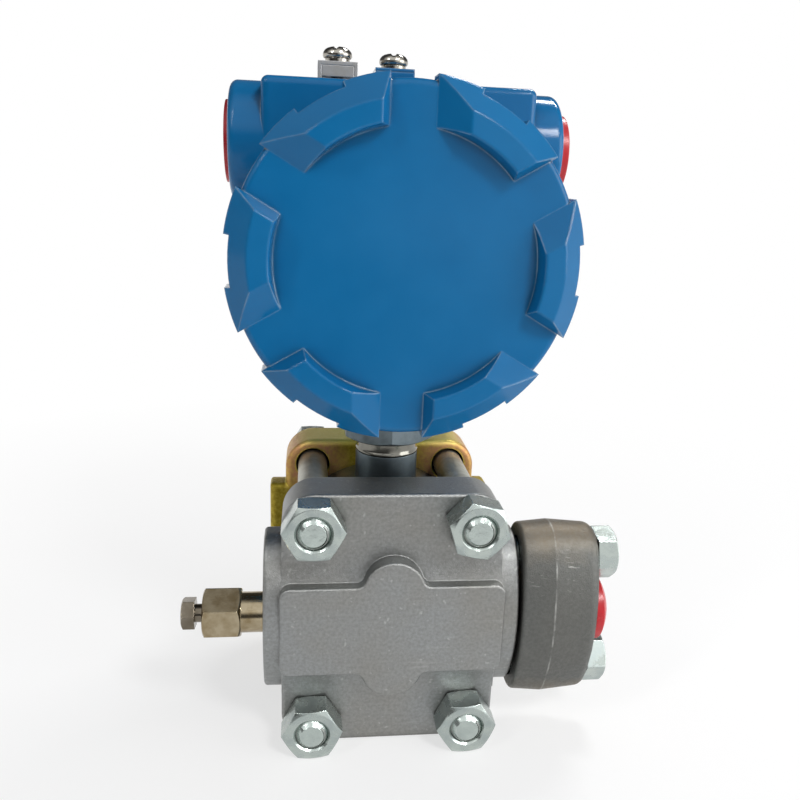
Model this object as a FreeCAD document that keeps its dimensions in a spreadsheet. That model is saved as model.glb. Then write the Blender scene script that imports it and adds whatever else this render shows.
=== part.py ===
"""Absolute pressure transmitter: two process flanges bolted round a sensor, and a housing on its neck."""
import FreeCAD, Part
import Sketcher
import math
import os

DOC = FreeCAD.newDocument("pressure_transmitter")
SHEET = DOC.addObject("Spreadsheet::Sheet", "Sheet")
VEC = FreeCAD.Vector

# Driving sizes in millimetres, and angles in degrees.
# X runs to the right, Y to the rear and Z up; the flanges stand on Z = 0.
SIZES = {
    # Process flanges
    "flange_height": 93.0,
    "plate_width": 74.0,
    "plate_thickness": 17.4,
    "plate_corner": 11.0,
    "barrel_length": 86.0,
    "barrel_rise": 28.5,
    "barrel_depth": 22.5,
    "barrel_front_radius": 45.0,
    "barrel_shoulder": 12.0,
    "barrel_edge": 1.2,
    "flange_lip": 2.0,
    "blend_radius": 28.0,
    "face_pad_width": 75.2,
    "face_pad_height": 32.4,
    "face_pad_proud": 1.1,
    "face_pad_edge": 0.8,
    "face_pad_corner": 3.6,
    "bump_radius": 10.3,
    "bump_reach": 25.0,
    "bump_fillet": 3.0,
    "chamber_radius": 15.0,
    "chamber_depth": 1.2,
    "port_radius": 4.0,
    "port_reach": 12.0,
    "port_drop_radius": 2.5,
    "vent_thread_radius": 6.6,
    "vent_thread_depth": 14.0,
    "port_spacing": 54.0,
    "adapter_bolt_spacing": 41.3,
    "tapped_radius": 5.5,
    "tapped_depth": 17.0,
    "tapped_spare": 2.0,
    # Flange bolts and nuts
    "bolt_spacing_across": 53.2,
    "bolt_spacing_up": 74.0,
    "bolt_diameter": 11.1,
    "bolt_clearance": 0.9,
    "bolt_head_flats": 15.9,
    "bolt_head_height": 6.4,
    "bolt_end_proud": 0.5,
    "bolt_end_chamfer": 1.7,
    "nut_flats": 18.0,
    "nut_height": 9.5,
    "nut_countersink": 0.7,
    "nut_face_share": 0.96,
    "nut_face_slope": 30.0,
    # Sensor module, its neck and lock nut
    "module_thickness": 36.8,
    "module_radius": 38.0,
    "diaphragm_radius": 16.0,
    "diaphragm_thickness": 0.4,
    "diaphragm_recess": 0.6,
    "flange_seal_radius": 20.5,
    "flange_seal_section": 2.16,
    "neck_diameter": 22.4,
    "neck_top": 96.6,
    "nipple_diameter": 21.7,
    "nipple_bore": 8.0,
    "nipple_engaged": 9.4,
    "lock_nut_flats": 30.6,
    "lock_nut_height": 9.4,
    "lock_nut_bottom": 102.2,
    # Electronics housing
    "housing_axis_height": 167.0,
    "housing_radius": 50.4,
    "housing_bore": 88.0,
    "housing_front": 27.0,
    "housing_rear": 41.0,
    "partition_front": 1.0,
    "partition_thickness": 4.5,
    "thread_diameter": 92.8,
    "thread_depth": 14.5,
    "block_width": 88.2,
    "block_depth": 40.0,
    "block_proud": 3.7,
    "block_edge": 2.4,
    "conduit_rise": 34.5,
    "conduit_setback": 12.0,
    "conduit_boss_diameter": 39.0,
    "conduit_boss_span": 109.6,
    "conduit_boss_edge": 2.6,
    "conduit_bore": 21.2,
    "conduit_thread_depth": 14.0,
    "wire_way_diameter": 12.0,
    "wire_way_setback": 11.8,
    "neck_boss_diameter": 35.0,
    "neck_way_diameter": 6.0,
    "neck_way_forward": 6.0,
    "feedthrough_hole": 5.0,
    "feedthrough_spacing": 14.0,
    "tag_boss_size": 13.0,
    "tag_boss_rise": 4.3,
    # Covers
    "cover_radius": 52.0,
    "cover_face": 12.2,
    "cover_edge": 2.0,
    "cover_web": 4.2,
    "cover_cavity_radius": 41.6,
    "skirt_length": 13.0,
    "thread_clearance": 0.25,
    "seal_groove_length": 2.8,
    "seal_groove_depth": 2.3,
    "lug_height": 6.0,
    "lug_proud": 1.7,
    "lug_slope_run": 7.3,
    "lug_top_width": 6.2,
    "lug_inner_run": 0.8,
    "lug_skirt": 8.2,
    "lug_root_depth": 3.0,
    "lug_gap": 13.4,
    "lug_steep_run": 2.3,
    "lug_ramp_run": 9.0,
    "lug_notch_angle": 16.4,
    "lug_fillet": 0.7,
    "lug_count": 6,
    # Flange adapter
    "adapter_gap": 0.9,
    "adapter_thickness": 27.4,
    "adapter_parting": 11.0,
    "adapter_tip_radius": 11.9,
    "adapter_half_depth": 16.4,
    "adapter_draft": 5.0,
    "adapter_edge": 4.0,
    "adapter_seat_edge": 1.2,
    "adapter_port": 21.2,
    "adapter_port_depth": 19.0,
    "adapter_seal_radius": 8.2,
    "adapter_seal_section": 2.4,
    "adapter_bolt_flats": 15.9,
    "adapter_bolt_head": 7.3,
    "dome_radius": 12.0,
    "dome_rim": 2.8,
    "dome_height": 6.6,
    "plug_depth": 9.0,
    "plug_clearance": 0.15,
    # Vent valve
    "vent_hex_flats": 16.0,
    "vent_hex_length": 12.7,
    "vent_collar_diameter": 13.7,
    "vent_collar_length": 7.7,
    "vent_tail_length": 12.0,
    "vent_passage": 3.0,
    "vent_clearance": 0.1,
    "stem_diameter": 6.2,
    "stem_showing": 2.8,
    "stem_depth": 11.6,
    "stem_head_flats": 9.5,
    "stem_head_height": 4.4,
    "ball_diameter": 5.0,
    # Conduit plugs
    "cap_diameter": 26.6,
    "cap_thickness_left": 1.5,
    "cap_thickness_right": 3.4,
    "cap_plug_depth": 8.0,
    # Fittings on top of the housing
    "ground_screw_across": 19.8,
    "tag_screw_across": 1.0,
    "clamp_width": 13.0,
    "clamp_depth": 12.0,
    "clamp_height": 6.6,
    "clamp_sheet": 1.2,
    "clamp_plate_thickness": 3.4,
    "washer_diameter": 8.2,
    "washer_thickness": 1.3,
    "screw_head_diameter": 9.8,
    "screw_head_height": 3.9,
    "screw_head_round": 2.9,
    "screw_shank_diameter": 4.0,
    "screw_shank_length": 13.0,
    "screw_slot_width": 1.3,
    "screw_slot_depth": 1.6,
    "tag_thickness": 1.1,
    # Electronics
    "board_radius": 40.0,
    "board_thickness": 1.6,
    "amplifier_standoff": 9.0,
    "board_spacing": 8.0,
    "standoff_radius": 2.6,
    "standoff_circle": 34.0,
    "standoff_hole": 1.5,
    "header_width": 16.0,
    "header_depth": 6.0,
    "header_drop": 20.0,
    "terminal_radius": 37.0,
    "terminal_thickness": 9.0,
    "barrier_height": 5.0,
    "barrier_thickness": 2.2,
    "barrier_length": 30.0,
    "terminal_pitch": 14.0,
    "terminal_screw_head": 8.0,
    "terminal_screw_height": 2.6,
    "terminal_row": 8.0,
    "terminal_ways": 3,
    "seat_gap": 0.1,
}


def derive(s):
    """Sizes that follow from the driving ones."""
    d = {}
    d["flange_half_height"] = s["flange_height"] / 2
    d["plate_half_width"] = s["plate_width"] / 2
    d["inner_face"] = s["module_thickness"] / 2
    d["plate_front"] = d["inner_face"] + s["plate_thickness"]
    d["barrel_half"] = s["barrel_length"] / 2
    # Barrel section: an upright side, a shoulder arc and a flatter front arc, tangent to each other.
    front_centre = s["barrel_front_radius"] - s["barrel_depth"]
    d["shoulder_across"] = s["barrel_rise"] - s["barrel_shoulder"]
    reach = s["barrel_front_radius"] - s["barrel_shoulder"]
    d["shoulder_base"] = math.sqrt(reach ** 2 - d["shoulder_across"] ** 2) - front_centre
    share = s["barrel_front_radius"] / reach
    d["shoulder_end_across"] = d["shoulder_across"] * share
    d["shoulder_end_out"] = (d["shoulder_base"] + front_centre) * share - front_centre
    # Hollow blend between the barrel's front arc and the plate's face.
    blend_reach = s["barrel_front_radius"] + s["blend_radius"]
    blend_centre_out = s["plate_thickness"] + s["blend_radius"] + front_centre
    d["blend_foot_across"] = math.sqrt(blend_reach ** 2 - blend_centre_out ** 2)
    blend_share = s["barrel_front_radius"] / blend_reach
    d["blend_top_across"] = d["blend_foot_across"] * blend_share
    d["blend_top_out"] = blend_centre_out * blend_share - front_centre
    d["face_pad_out"] = s["barrel_depth"] + s["face_pad_proud"]
    d["face_pad_half_width"] = s["face_pad_width"] / 2
    d["face_pad_half_height"] = s["face_pad_height"] / 2
    d["bump_centre"] = s["bump_reach"] - s["bump_radius"]
    d["port_out"] = s["port_spacing"] / 2 - d["inner_face"]
    d["port_length"] = d["barrel_half"] - s["port_reach"]
    d["adapter_bolt_up"] = s["adapter_bolt_spacing"] / 2
    d["bolt_across"] = s["bolt_spacing_across"] / 2
    d["bolt_up"] = s["bolt_spacing_up"] / 2
    d["bolt_radius"] = s["bolt_diameter"] / 2
    d["bolt_hole_radius"] = d["bolt_radius"] + s["bolt_clearance"]
    d["nut_bore_radius"] = d["bolt_radius"] + s["seat_gap"] / 2
    d["nut_mouth_radius"] = d["nut_bore_radius"] + s["nut_countersink"]
    d["bolt_length"] = 2 * d["plate_front"] + s["nut_height"] + s["bolt_end_proud"]
    # Module
    d["seal_groove_deep"] = s["flange_seal_section"] + s["seat_gap"] / 2
    d["flange_seal_wire"] = s["flange_seal_section"] / 2
    d["flange_groove_outer"] = s["flange_seal_radius"] + d["flange_seal_wire"] + s["seat_gap"]
    d["flange_groove_inner"] = s["flange_seal_radius"] - d["flange_seal_wire"] - s["seat_gap"]
    d["diaphragm_recess_radius"] = s["diaphragm_radius"] + s["seat_gap"]
    d["neck_radius"] = s["neck_diameter"] / 2
    d["neck_length"] = s["neck_top"] - d["flange_half_height"]
    d["lock_nut_top"] = s["lock_nut_bottom"] + s["lock_nut_height"]
    d["housing_bottom"] = d["lock_nut_top"] + s["seat_gap"]
    d["nipple_radius"] = s["nipple_diameter"] / 2
    d["nipple_bore_radius"] = s["nipple_bore"] / 2
    d["nipple_top"] = d["housing_bottom"] + s["nipple_engaged"]
    d["nipple_length"] = d["nipple_top"] - s["neck_top"]
    d["nipple_hole_radius"] = d["nipple_radius"] + s["seat_gap"] / 2
    d["nipple_hole_depth"] = s["nipple_engaged"] + s["seat_gap"]
    # Housing
    d["housing_length"] = s["housing_front"] + s["housing_rear"]
    d["housing_bore_radius"] = s["housing_bore"] / 2
    d["front_bore_depth"] = s["housing_front"] + s["partition_front"]
    d["partition_rear"] = s["partition_front"] + s["partition_thickness"]
    d["rear_bore_depth"] = s["housing_rear"] - d["partition_rear"]
    d["thread_radius"] = s["thread_diameter"] / 2
    d["block_height"] = s["housing_radius"] + s["block_proud"]
    d["block_top"] = s["housing_axis_height"] + d["block_height"]
    d["conduit_height"] = s["housing_axis_height"] + s["conduit_rise"]
    d["conduit_boss_radius"] = s["conduit_boss_diameter"] / 2
    d["conduit_end"] = s["conduit_boss_span"] / 2
    d["conduit_radius"] = s["conduit_bore"] / 2
    d["wire_way_radius"] = s["wire_way_diameter"] / 2
    d["wire_way_length"] = d["conduit_end"] - s["conduit_thread_depth"]
    d["neck_boss_radius"] = s["neck_boss_diameter"] / 2
    d["neck_boss_length"] = s["housing_axis_height"] - d["housing_bottom"]
    d["neck_way_radius"] = s["neck_way_diameter"] / 2
    d["feedthrough_radius"] = s["feedthrough_hole"] / 2
    d["feedthrough_pin_radius"] = d["feedthrough_radius"] - s["seat_gap"] / 2
    d["tag_boss_height"] = d["block_height"] + s["tag_boss_rise"]
    d["tag_boss_top"] = s["housing_axis_height"] + d["tag_boss_height"]
    # Covers
    d["cover_inside"] = s["cover_face"] - s["cover_web"]
    d["cover_edge_radius"] = s["cover_radius"] - s["cover_edge"]
    d["cover_edge_foot"] = s["cover_face"] - s["cover_edge"]
    d["skirt_radius"] = d["thread_radius"] - s["thread_clearance"]
    d["seal_floor_radius"] = d["skirt_radius"] - s["seal_groove_depth"]
    d["cover_seal_wire"] = (d["thread_radius"] - d["seal_floor_radius"] - s["seat_gap"]) / 2
    d["cover_seal_radius"] = (d["thread_radius"] + d["seal_floor_radius"]) / 2
    d["lug_radius"] = s["cover_radius"] + s["lug_proud"]
    d["lug_ridge_radius"] = d["lug_radius"] - s["lug_slope_run"]
    d["lug_inner_radius"] = d["lug_ridge_radius"] - s["lug_top_width"]
    d["lug_foot_radius"] = d["lug_inner_radius"] - s["lug_inner_run"]
    d["lug_top"] = s["cover_face"] + s["lug_height"]
    d["lug_skirt_foot"] = s["cover_face"] - s["lug_skirt"]
    d["lug_root"] = s["cover_face"] - s["lug_root_depth"]
    d["lug_steep_foot"] = s["lug_gap"] / 2
    d["lug_steep_top"] = d["lug_steep_foot"] + s["lug_steep_run"]
    d["lug_ramp_top"] = d["lug_steep_foot"] + s["lug_ramp_run"]
    d["gap_start"] = d["lug_foot_radius"] - s["lug_gap"] / 2
    d["gap_length"] = d["lug_radius"] - d["gap_start"] + s["cover_edge"]
    half_notch = math.radians(s["lug_notch_angle"] / 2)
    notch_outer = d["lug_radius"] + s["cover_edge"]
    d["notch_outer_radius"] = notch_outer
    d["notch_inner_across"] = s["cover_radius"] * math.sin(half_notch)
    d["notch_inner_up"] = s["cover_radius"] * math.cos(half_notch)
    d["notch_outer_across"] = notch_outer * math.sin(half_notch)
    d["notch_outer_up"] = notch_outer * math.cos(half_notch)
    d["notch_depth"] = s["lug_height"] + s["lug_skirt"]
    # Adapter outline: tip arcs round the bolts, tangent to two long side arcs.
    excess = s["adapter_half_depth"] - s["adapter_tip_radius"]
    side_offset = (d["adapter_bolt_up"] ** 2 - excess ** 2) / (2 * excess)
    d["adapter_side_radius"] = s["adapter_half_depth"] + side_offset
    side_share = d["adapter_side_radius"] / (d["adapter_side_radius"] - s["adapter_tip_radius"])
    d["adapter_tangent_across"] = side_offset * (side_share - 1)
    d["adapter_tangent_up"] = d["adapter_bolt_up"] * side_share
    d["adapter_seat"] = d["barrel_half"] + s["adapter_gap"]
    d["adapter_outer"] = d["adapter_seat"] + s["adapter_thickness"]
    d["adapter_outward"] = s["adapter_thickness"] - s["adapter_parting"]
    d["adapter_port_radius"] = s["adapter_port"] / 2
    d["adapter_seal_wire"] = s["adapter_seal_section"] / 2
    d["adapter_groove_deep"] = s["adapter_seal_section"] - s["adapter_gap"] + s["seat_gap"] / 2
    d["adapter_groove_outer"] = s["adapter_seal_radius"] + d["adapter_seal_wire"] + s["seat_gap"]
    d["adapter_seal_place"] = d["barrel_half"] + (s["adapter_gap"] + d["adapter_groove_deep"]) / 2
    adapter_bolt_engaged = s["tapped_depth"] - s["tapped_spare"]
    d["adapter_bolt_length"] = s["adapter_thickness"] + s["adapter_gap"] + adapter_bolt_engaged
    d["adapter_bolt_radius"] = s["tapped_radius"] - s["seat_gap"] / 2
    d["process_plug_radius"] = d["adapter_port_radius"] - s["plug_clearance"]
    dome_crown = s["dome_height"] - s["dome_rim"]
    d["dome_sphere"] = (s["dome_radius"] ** 2 + dome_crown ** 2) / (2 * dome_crown)
    # Vent valve
    d["vent_collar_radius"] = s["vent_collar_diameter"] / 2
    d["vent_tail_radius"] = s["vent_thread_radius"] - s["vent_clearance"]
    d["vent_length"] = s["vent_hex_length"] + s["vent_collar_length"] + s["vent_tail_length"]
    d["vent_end"] = d["barrel_half"] + s["vent_collar_length"] + s["vent_hex_length"]
    d["vent_passage_radius"] = s["vent_passage"] / 2
    d["stem_radius"] = s["stem_diameter"] / 2
    d["stem_bore_radius"] = d["stem_radius"] + s["seat_gap"]
    d["stem_bore_depth"] = s["stem_depth"] + s["ball_diameter"] + s["seat_gap"]
    d["stem_length"] = s["stem_depth"] + s["stem_showing"]
    d["ball_radius"] = s["ball_diameter"] / 2
    d["ball_place"] = s["stem_depth"] + s["seat_gap"] / 2 + d["ball_radius"]
    # Conduit plugs and fittings
    d["cap_radius"] = s["cap_diameter"] / 2
    d["cap_plug_radius"] = d["conduit_radius"] - s["plug_clearance"]
    d["washer_radius"] = s["washer_diameter"] / 2
    d["screw_head_radius"] = s["screw_head_diameter"] / 2
    d["screw_shank_radius"] = s["screw_shank_diameter"] / 2
    d["screw_hole_radius"] = d["screw_shank_radius"] + s["seat_gap"]
    d["clamp_inside_width"] = s["clamp_width"] - 2 * s["clamp_sheet"]
    d["clamp_inside_height"] = s["clamp_height"] - s["clamp_sheet"]
    d["clamp_plate_width"] = d["clamp_inside_width"] - 2 * s["seat_gap"]
    d["clamp_plate_drop"] = s["clamp_sheet"] + s["seat_gap"] + s["clamp_plate_thickness"]
    # Electronics
    d["amplifier_face"] = s["partition_front"] - s["amplifier_standoff"]
    d["calibration_face"] = d["amplifier_face"] - s["board_thickness"] - s["board_spacing"]
    d["terminal_screw_radius"] = s["terminal_screw_head"] / 2
    # The origin lies under the middle of the whole part.
    left = -(d["vent_end"] + s["stem_showing"] + s["stem_head_height"])
    right = d["adapter_outer"] + s["adapter_bolt_head"]
    bolt_end = d["plate_front"] + s["nut_height"] + s["bolt_end_proud"]
    front = -max(s["housing_front"] + d["lug_top"], bolt_end)
    rear = s["housing_rear"] + d["lug_top"]
    d["middle_x"] = (left + right) / 2
    d["middle_y"] = (front + rear) / 2
    return d


VALUES = dict(SIZES)
VALUES.update(derive(SIZES))


def fill_sheet():
    for row, (name, number) in enumerate(VALUES.items(), start=1):
        SHEET.set("A%d" % row, name)
        SHEET.set("B%d" % row, repr(float(number)))
        SHEET.setAlias("B%d" % row, name)
    DOC.recompute()


def num(name):
    """Number behind a size name; a leading minus turns it round, and 0 is itself."""
    if name == "0":
        return 0.0
    if name.startswith("-"):
        return -VALUES[name[1:]]
    return VALUES[name]


def cell(name):
    if name.startswith("-"):
        return "-Sheet." + name[1:]
    return "Sheet." + name


def bind(thing, **sizes):
    for prop, name in sizes.items():
        thing.setExpression(prop, cell(name))


# Turns that lay a piece's own Z axis along a direction of the part.
TURNS = {
    "+Z": FreeCAD.Rotation(),
    "+X": FreeCAD.Rotation(VEC(0, 1, 0), VEC(0, 0, 1), VEC(1, 0, 0), "ZXY"),
    "-X": FreeCAD.Rotation(VEC(0, -1, 0), VEC(0, 0, 1), VEC(-1, 0, 0), "ZXY"),
    "+Y": FreeCAD.Rotation(VEC(-1, 0, 0), VEC(0, 0, 1), VEC(0, 1, 0), "ZXY"),
    "-Y": FreeCAD.Rotation(VEC(1, 0, 0), VEC(0, 0, 1), VEC(0, -1, 0), "ZXY"),
}


def at(x, y, z, toward="+Z", spin=0.0):
    """Placement in the part's frame, whose origin lies under the middle of the part."""
    base = VEC(x - VALUES["middle_x"], y - VALUES["middle_y"], z)
    return FreeCAD.Placement(base, TURNS[toward].multiply(FreeCAD.Rotation(VEC(0, 0, 1), spin)))


def cylinder(name, radius, height, place):
    piece = DOC.addObject("Part::Cylinder", name)
    bind(piece, Radius=radius, Height=height)
    piece.Placement = place
    return piece


def cone(name, start_radius, end_radius, height, place):
    piece = DOC.addObject("Part::Cone", name)
    bind(piece, Radius1=start_radius, Radius2=end_radius, Height=height)
    piece.Placement = place
    return piece


def box(name, length, width, height, place):
    """Box centred on its place across X and Y, rising along Z."""
    piece = DOC.addObject("Part::Box", name)
    bind(piece, Length=length, Width=width, Height=height)
    corner = VEC(-num(length) / 2, -num(width) / 2, 0)
    piece.Placement = place.multiply(FreeCAD.Placement(corner, FreeCAD.Rotation()))
    return piece


def ring(name, radius, wire, place):
    piece = DOC.addObject("Part::Torus", name)
    bind(piece, Radius1=radius, Radius2=wire)
    piece.Placement = place
    return piece


def fuse(name, *pieces):
    piece = DOC.addObject("Part::MultiFuse", name)
    piece.Shapes = list(pieces)
    piece.Refine = True
    return piece


def cut(name, base, *tools):
    piece = DOC.addObject("Part::Cut", name)
    piece.Base = base
    piece.Tool = tools[0] if len(tools) == 1 else fuse(name + "_tools", *tools)
    piece.Refine = True
    return piece


def group(name, pieces):
    piece = DOC.addObject("Part::Compound", name)
    piece.Links = list(pieces)
    return piece


def hexagon(name, flats, height, place, chamfer_ends=(True, True)):
    """Six-sided bar with its corners turned off by a flat cone at the wanted ends."""
    bar = DOC.addObject("Part::Prism", name + "_bar")
    bar.Polygon = 6
    bar.setExpression("Circumradius", cell(flats) + " / 2 / cos(30 deg)")
    bind(bar, Height=height)
    bar.Placement = place
    blanks = [bar]
    narrow = cell(flats) + " / 2 * Sheet.nut_face_share"
    wide = narrow + " + " + cell(height) + " / tan(Sheet.nut_face_slope * 1 deg)"
    for end, wanted in zip(("start", "end"), chamfer_ends):
        if not wanted:
            continue
        cone = DOC.addObject("Part::Cone", name + "_" + end)
        cone.setExpression("Radius1", narrow if end == "start" else wide)
        cone.setExpression("Radius2", wide if end == "start" else narrow)
        bind(cone, Height=height)
        cone.Placement = place
        blanks.append(cone)
    piece = DOC.addObject("Part::MultiCommon", name)
    piece.Shapes = blanks
    return piece


def eased(kind, name, base, size, wanted):
    """Fillet or chamfer on the edges of a plain piece that the test picks."""
    DOC.recompute()
    piece = DOC.addObject(kind, name)
    piece.Base = base
    piece.Edges = [(i + 1, num(size), num(size)) for i, edge in enumerate(base.Shape.Edges) if wanted(edge)]
    return piece


def rounded(name, base, radius, wanted):
    return eased("Part::Fillet", name, base, radius, wanted)


def chamfered(name, base, width, wanted):
    return eased("Part::Chamfer", name, base, width, wanted)


def new_body(name):
    body = DOC.addObject("PartDesign::Body", name)
    body.AllowCompound = True
    return body


def origin_item(body, role):
    return [item for item in body.Origin.OriginFeatures if item.Role == role][0]


def sketch_on(body, name, role, offset="0", spin=0.0):
    sketch = body.newObject("Sketcher::SketchObject", name)
    sketch.AttachmentSupport = [(origin_item(body, role), "")]
    sketch.MapMode = "FlatFace"
    turn = FreeCAD.Rotation(VEC(0, 0, 1), spin)
    sketch.AttachmentOffset = FreeCAD.Placement(VEC(0, 0, num(offset)), turn)
    if offset != "0":
        sketch.setExpression("AttachmentOffset.Base.z", cell(offset))
    return sketch


def tie(sketch, kind, geometry, end, name):
    """Distance of a corner or centre from the sketch's origin, read from the sheet."""
    index = sketch.addConstraint(Sketcher.Constraint(kind, -1, 1, geometry, end, num(name)))
    if name != "0":
        sketch.setExpression("Constraints[%d]" % index, cell(name))


def outline(sketch, corners):
    """Closed outline. A corner is (across, up) or (across, up, radius, side). The edge that leaves it is a
    straight line, or an arc of that radius that bulges to the right (+1) or left (-1) of the way on."""
    points = [VEC(num(corner[0]), num(corner[1]), 0) for corner in corners]
    count = len(corners)
    for i, corner in enumerate(corners):
        start = points[i]
        end = points[(i + 1) % count]
        if len(corner) == 2:
            sketch.addGeometry(Part.LineSegment(start, end), False)
            continue
        radius = num(corner[2])
        chord = end - start
        right = VEC(chord.y, -chord.x, 0).normalize()
        rise = radius - math.sqrt(max(radius ** 2 - chord.Length ** 2 / 4, 0.0))
        middle = (start + end) * 0.5 + right * (rise * corner[3])
        sketch.addGeometry(Part.Arc(start, middle, end), False)
    for i, corner in enumerate(corners):
        joint = (i + 1) % count
        arc_turned = len(corner) == 4 and corner[3] < 0
        leave = 1 if arc_turned else 2
        next_turned = len(corners[joint]) == 4 and corners[joint][3] < 0
        arrive = 2 if next_turned else 1
        sketch.addConstraint(Sketcher.Constraint("Coincident", i, leave, joint, arrive))
    for i, corner in enumerate(corners):
        turned = len(corner) == 4 and corner[3] < 0
        tie(sketch, "DistanceX", i, 2 if turned else 1, corner[0])
        tie(sketch, "DistanceY", i, 2 if turned else 1, corner[1])
        if len(corner) == 4:
            index = sketch.addConstraint(Sketcher.Constraint("Radius", i, num(corner[2])))
            sketch.setExpression("Constraints[%d]" % index, cell(corner[2]))


def rectangle(sketch, half_across, half_up):
    outline(sketch, [("-" + half_across, "-" + half_up), (half_across, "-" + half_up),
                     (half_across, half_up), ("-" + half_across, half_up)])


def circle(sketch, across, up, radius):
    index = sketch.addGeometry(Part.Circle(VEC(num(across), num(up), 0), VEC(0, 0, 1), num(radius)), False)
    tie(sketch, "DistanceX", index, 3, across)
    tie(sketch, "DistanceY", index, 3, up)
    size = sketch.addConstraint(Sketcher.Constraint("Radius", index, num(radius)))
    sketch.setExpression("Constraints[%d]" % size, cell(radius))


def pad(body, name, sketch, length, symmetric=False):
    feature = body.newObject("PartDesign::Pad", name)
    feature.Profile = sketch
    bind(feature, Length=length)
    if symmetric:
        feature.SideType = "Symmetric"
    return feature


def pocket(body, name, sketch, length, along=False):
    """Cut of a given depth, against the sketch's normal or along it."""
    feature = body.newObject("PartDesign::Pocket", name)
    feature.Profile = sketch
    bind(feature, Length=length)
    feature.Reversed = along
    return feature


def revolve(body, name, sketch):
    feature = body.newObject("PartDesign::Revolution", name)
    feature.Profile = sketch
    feature.ReferenceAxis = (sketch, ["V_Axis"])
    feature.Angle = 360.0
    return feature


def round_edges(body, name, radius, wanted):
    """Fillet on the edges of the body so far that the test picks."""
    DOC.recompute()
    base = body.Tip
    names = ["Edge%d" % (i + 1) for i, edge in enumerate(base.Shape.Edges) if wanted(edge)]
    feature = body.newObject("PartDesign::Fillet", name)
    feature.Base = (base, names)
    bind(feature, Radius=radius)
    return feature


TOUCH = 0.01


def near(a, b):
    return abs(a - b) < TOUCH


def level_at(height):
    """Test for edges that lie flat at a height of the body's own Z axis."""
    return lambda edge: near(edge.BoundBox.ZMin, height) and near(edge.BoundBox.ZMax, height)


def upright_at(spots):
    """Test for edges along the body's own Z axis that stand on one of the (x, y) spots."""
    def wanted(edge):
        bounds = edge.BoundBox
        if bounds.XLength > TOUCH or bounds.YLength > TOUCH:
            return False
        return any(near(bounds.XMin, x) and near(bounds.YMin, y) for x, y in spots)
    return wanted


AXIS = VALUES["flange_half_height"]
INNER = VALUES["inner_face"]
BOTH = (-1, 1)


def four_corners(across, up):
    return [(x * VALUES[across], y * VALUES[up]) for x in BOTH for y in BOTH]


def flange_casting(name, place):
    """Plate, cross barrel and cross-shaped face pad; the body's own Z axis points away from the sensor."""
    body = new_body(name)
    plate = sketch_on(body, name + "_plate_outline", "XY_Plane")
    rectangle(plate, "plate_half_width", "flange_half_height")
    pad(body, name + "_plate", plate, "plate_thickness")
    corners = four_corners("plate_half_width", "flange_half_height")
    round_edges(body, name + "_plate_corners", "plate_corner", upright_at(corners))
    round_edges(body, name + "_plate_edge", "barrel_edge", level_at(VALUES["plate_thickness"]))

    barrel = sketch_on(body, name + "_barrel_section", "YZ_Plane")
    outline(barrel, [
        ("-barrel_rise", "0"),
        ("barrel_rise", "0"),
        ("barrel_rise", "shoulder_base", "barrel_shoulder", 1),
        ("shoulder_end_across", "shoulder_end_out", "barrel_front_radius", 1),
        ("-shoulder_end_across", "shoulder_end_out", "barrel_shoulder", 1),
        ("-barrel_rise", "shoulder_base"),
    ])
    pad(body, name + "_barrel", barrel, "barrel_length", symmetric=True)
    end = VALUES["barrel_half"]

    def barrel_rim(edge):
        bounds = edge.BoundBox
        return bounds.XLength < TOUCH and near(abs(bounds.XMin), end) and bounds.ZMax > TOUCH
    round_edges(body, name + "_barrel_edge", "barrel_edge", barrel_rim)

    blend = sketch_on(body, name + "_blend_section", "YZ_Plane")
    outline(blend, [
        ("-blend_foot_across", "plate_thickness"),
        ("blend_foot_across", "plate_thickness", "blend_radius", -1),
        ("blend_top_across", "blend_top_out", "barrel_front_radius", 1),
        ("-blend_top_across", "blend_top_out", "blend_radius", -1),
    ])
    pad(body, name + "_blend", blend, "plate_width", symmetric=True)

    face_pad = sketch_on(body, name + "_face_pad_outline", "XY_Plane")
    rectangle(face_pad, "face_pad_half_width", "face_pad_half_height")
    pad(body, name + "_face_pad", face_pad, "face_pad_out")
    bumps = sketch_on(body, name + "_bump_outline", "XY_Plane")
    circle(bumps, "0", "bump_centre", "bump_radius")
    circle(bumps, "0", "-bump_centre", "bump_radius")
    pad(body, name + "_bumps", bumps, "face_pad_out")
    corners = four_corners("face_pad_half_width", "face_pad_half_height")
    round_edges(body, name + "_pad_corners", "face_pad_corner", upright_at(corners))
    step = VALUES["face_pad_half_height"] - VALUES["bump_centre"]
    foot = math.sqrt(VALUES["bump_radius"] ** 2 - step ** 2)
    feet = [(x * foot, y * VALUES["face_pad_half_height"]) for x in BOTH for y in BOTH]
    round_edges(body, name + "_bump_feet", "bump_fillet", upright_at(feet))
    round_edges(body, name + "_pad_edge", "face_pad_edge", level_at(VALUES["face_pad_out"]))

    round_edges(body, name + "_lip", "flange_lip", level_at(0.0))

    holes = sketch_on(body, name + "_bolt_circles", "XY_Plane")
    for across in ("-bolt_across", "bolt_across"):
        for up in ("-bolt_up", "bolt_up"):
            circle(holes, across, up, "bolt_hole_radius")
    pocket(body, name + "_bolt_holes", holes, "barrel_depth", along=True)
    chamber = sketch_on(body, name + "_chamber_circle", "XY_Plane")
    circle(chamber, "0", "0", "chamber_radius")
    pocket(body, name + "_chamber", chamber, "chamber_depth", along=True)
    tapped = sketch_on(body, name + "_tapped_circles", "YZ_Plane", "barrel_half")
    circle(tapped, "-adapter_bolt_up", "port_out", "tapped_radius")
    circle(tapped, "adapter_bolt_up", "port_out", "tapped_radius")
    pocket(body, name + "_tapped_holes", tapped, "tapped_depth")
    body.Placement = place
    return body


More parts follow.
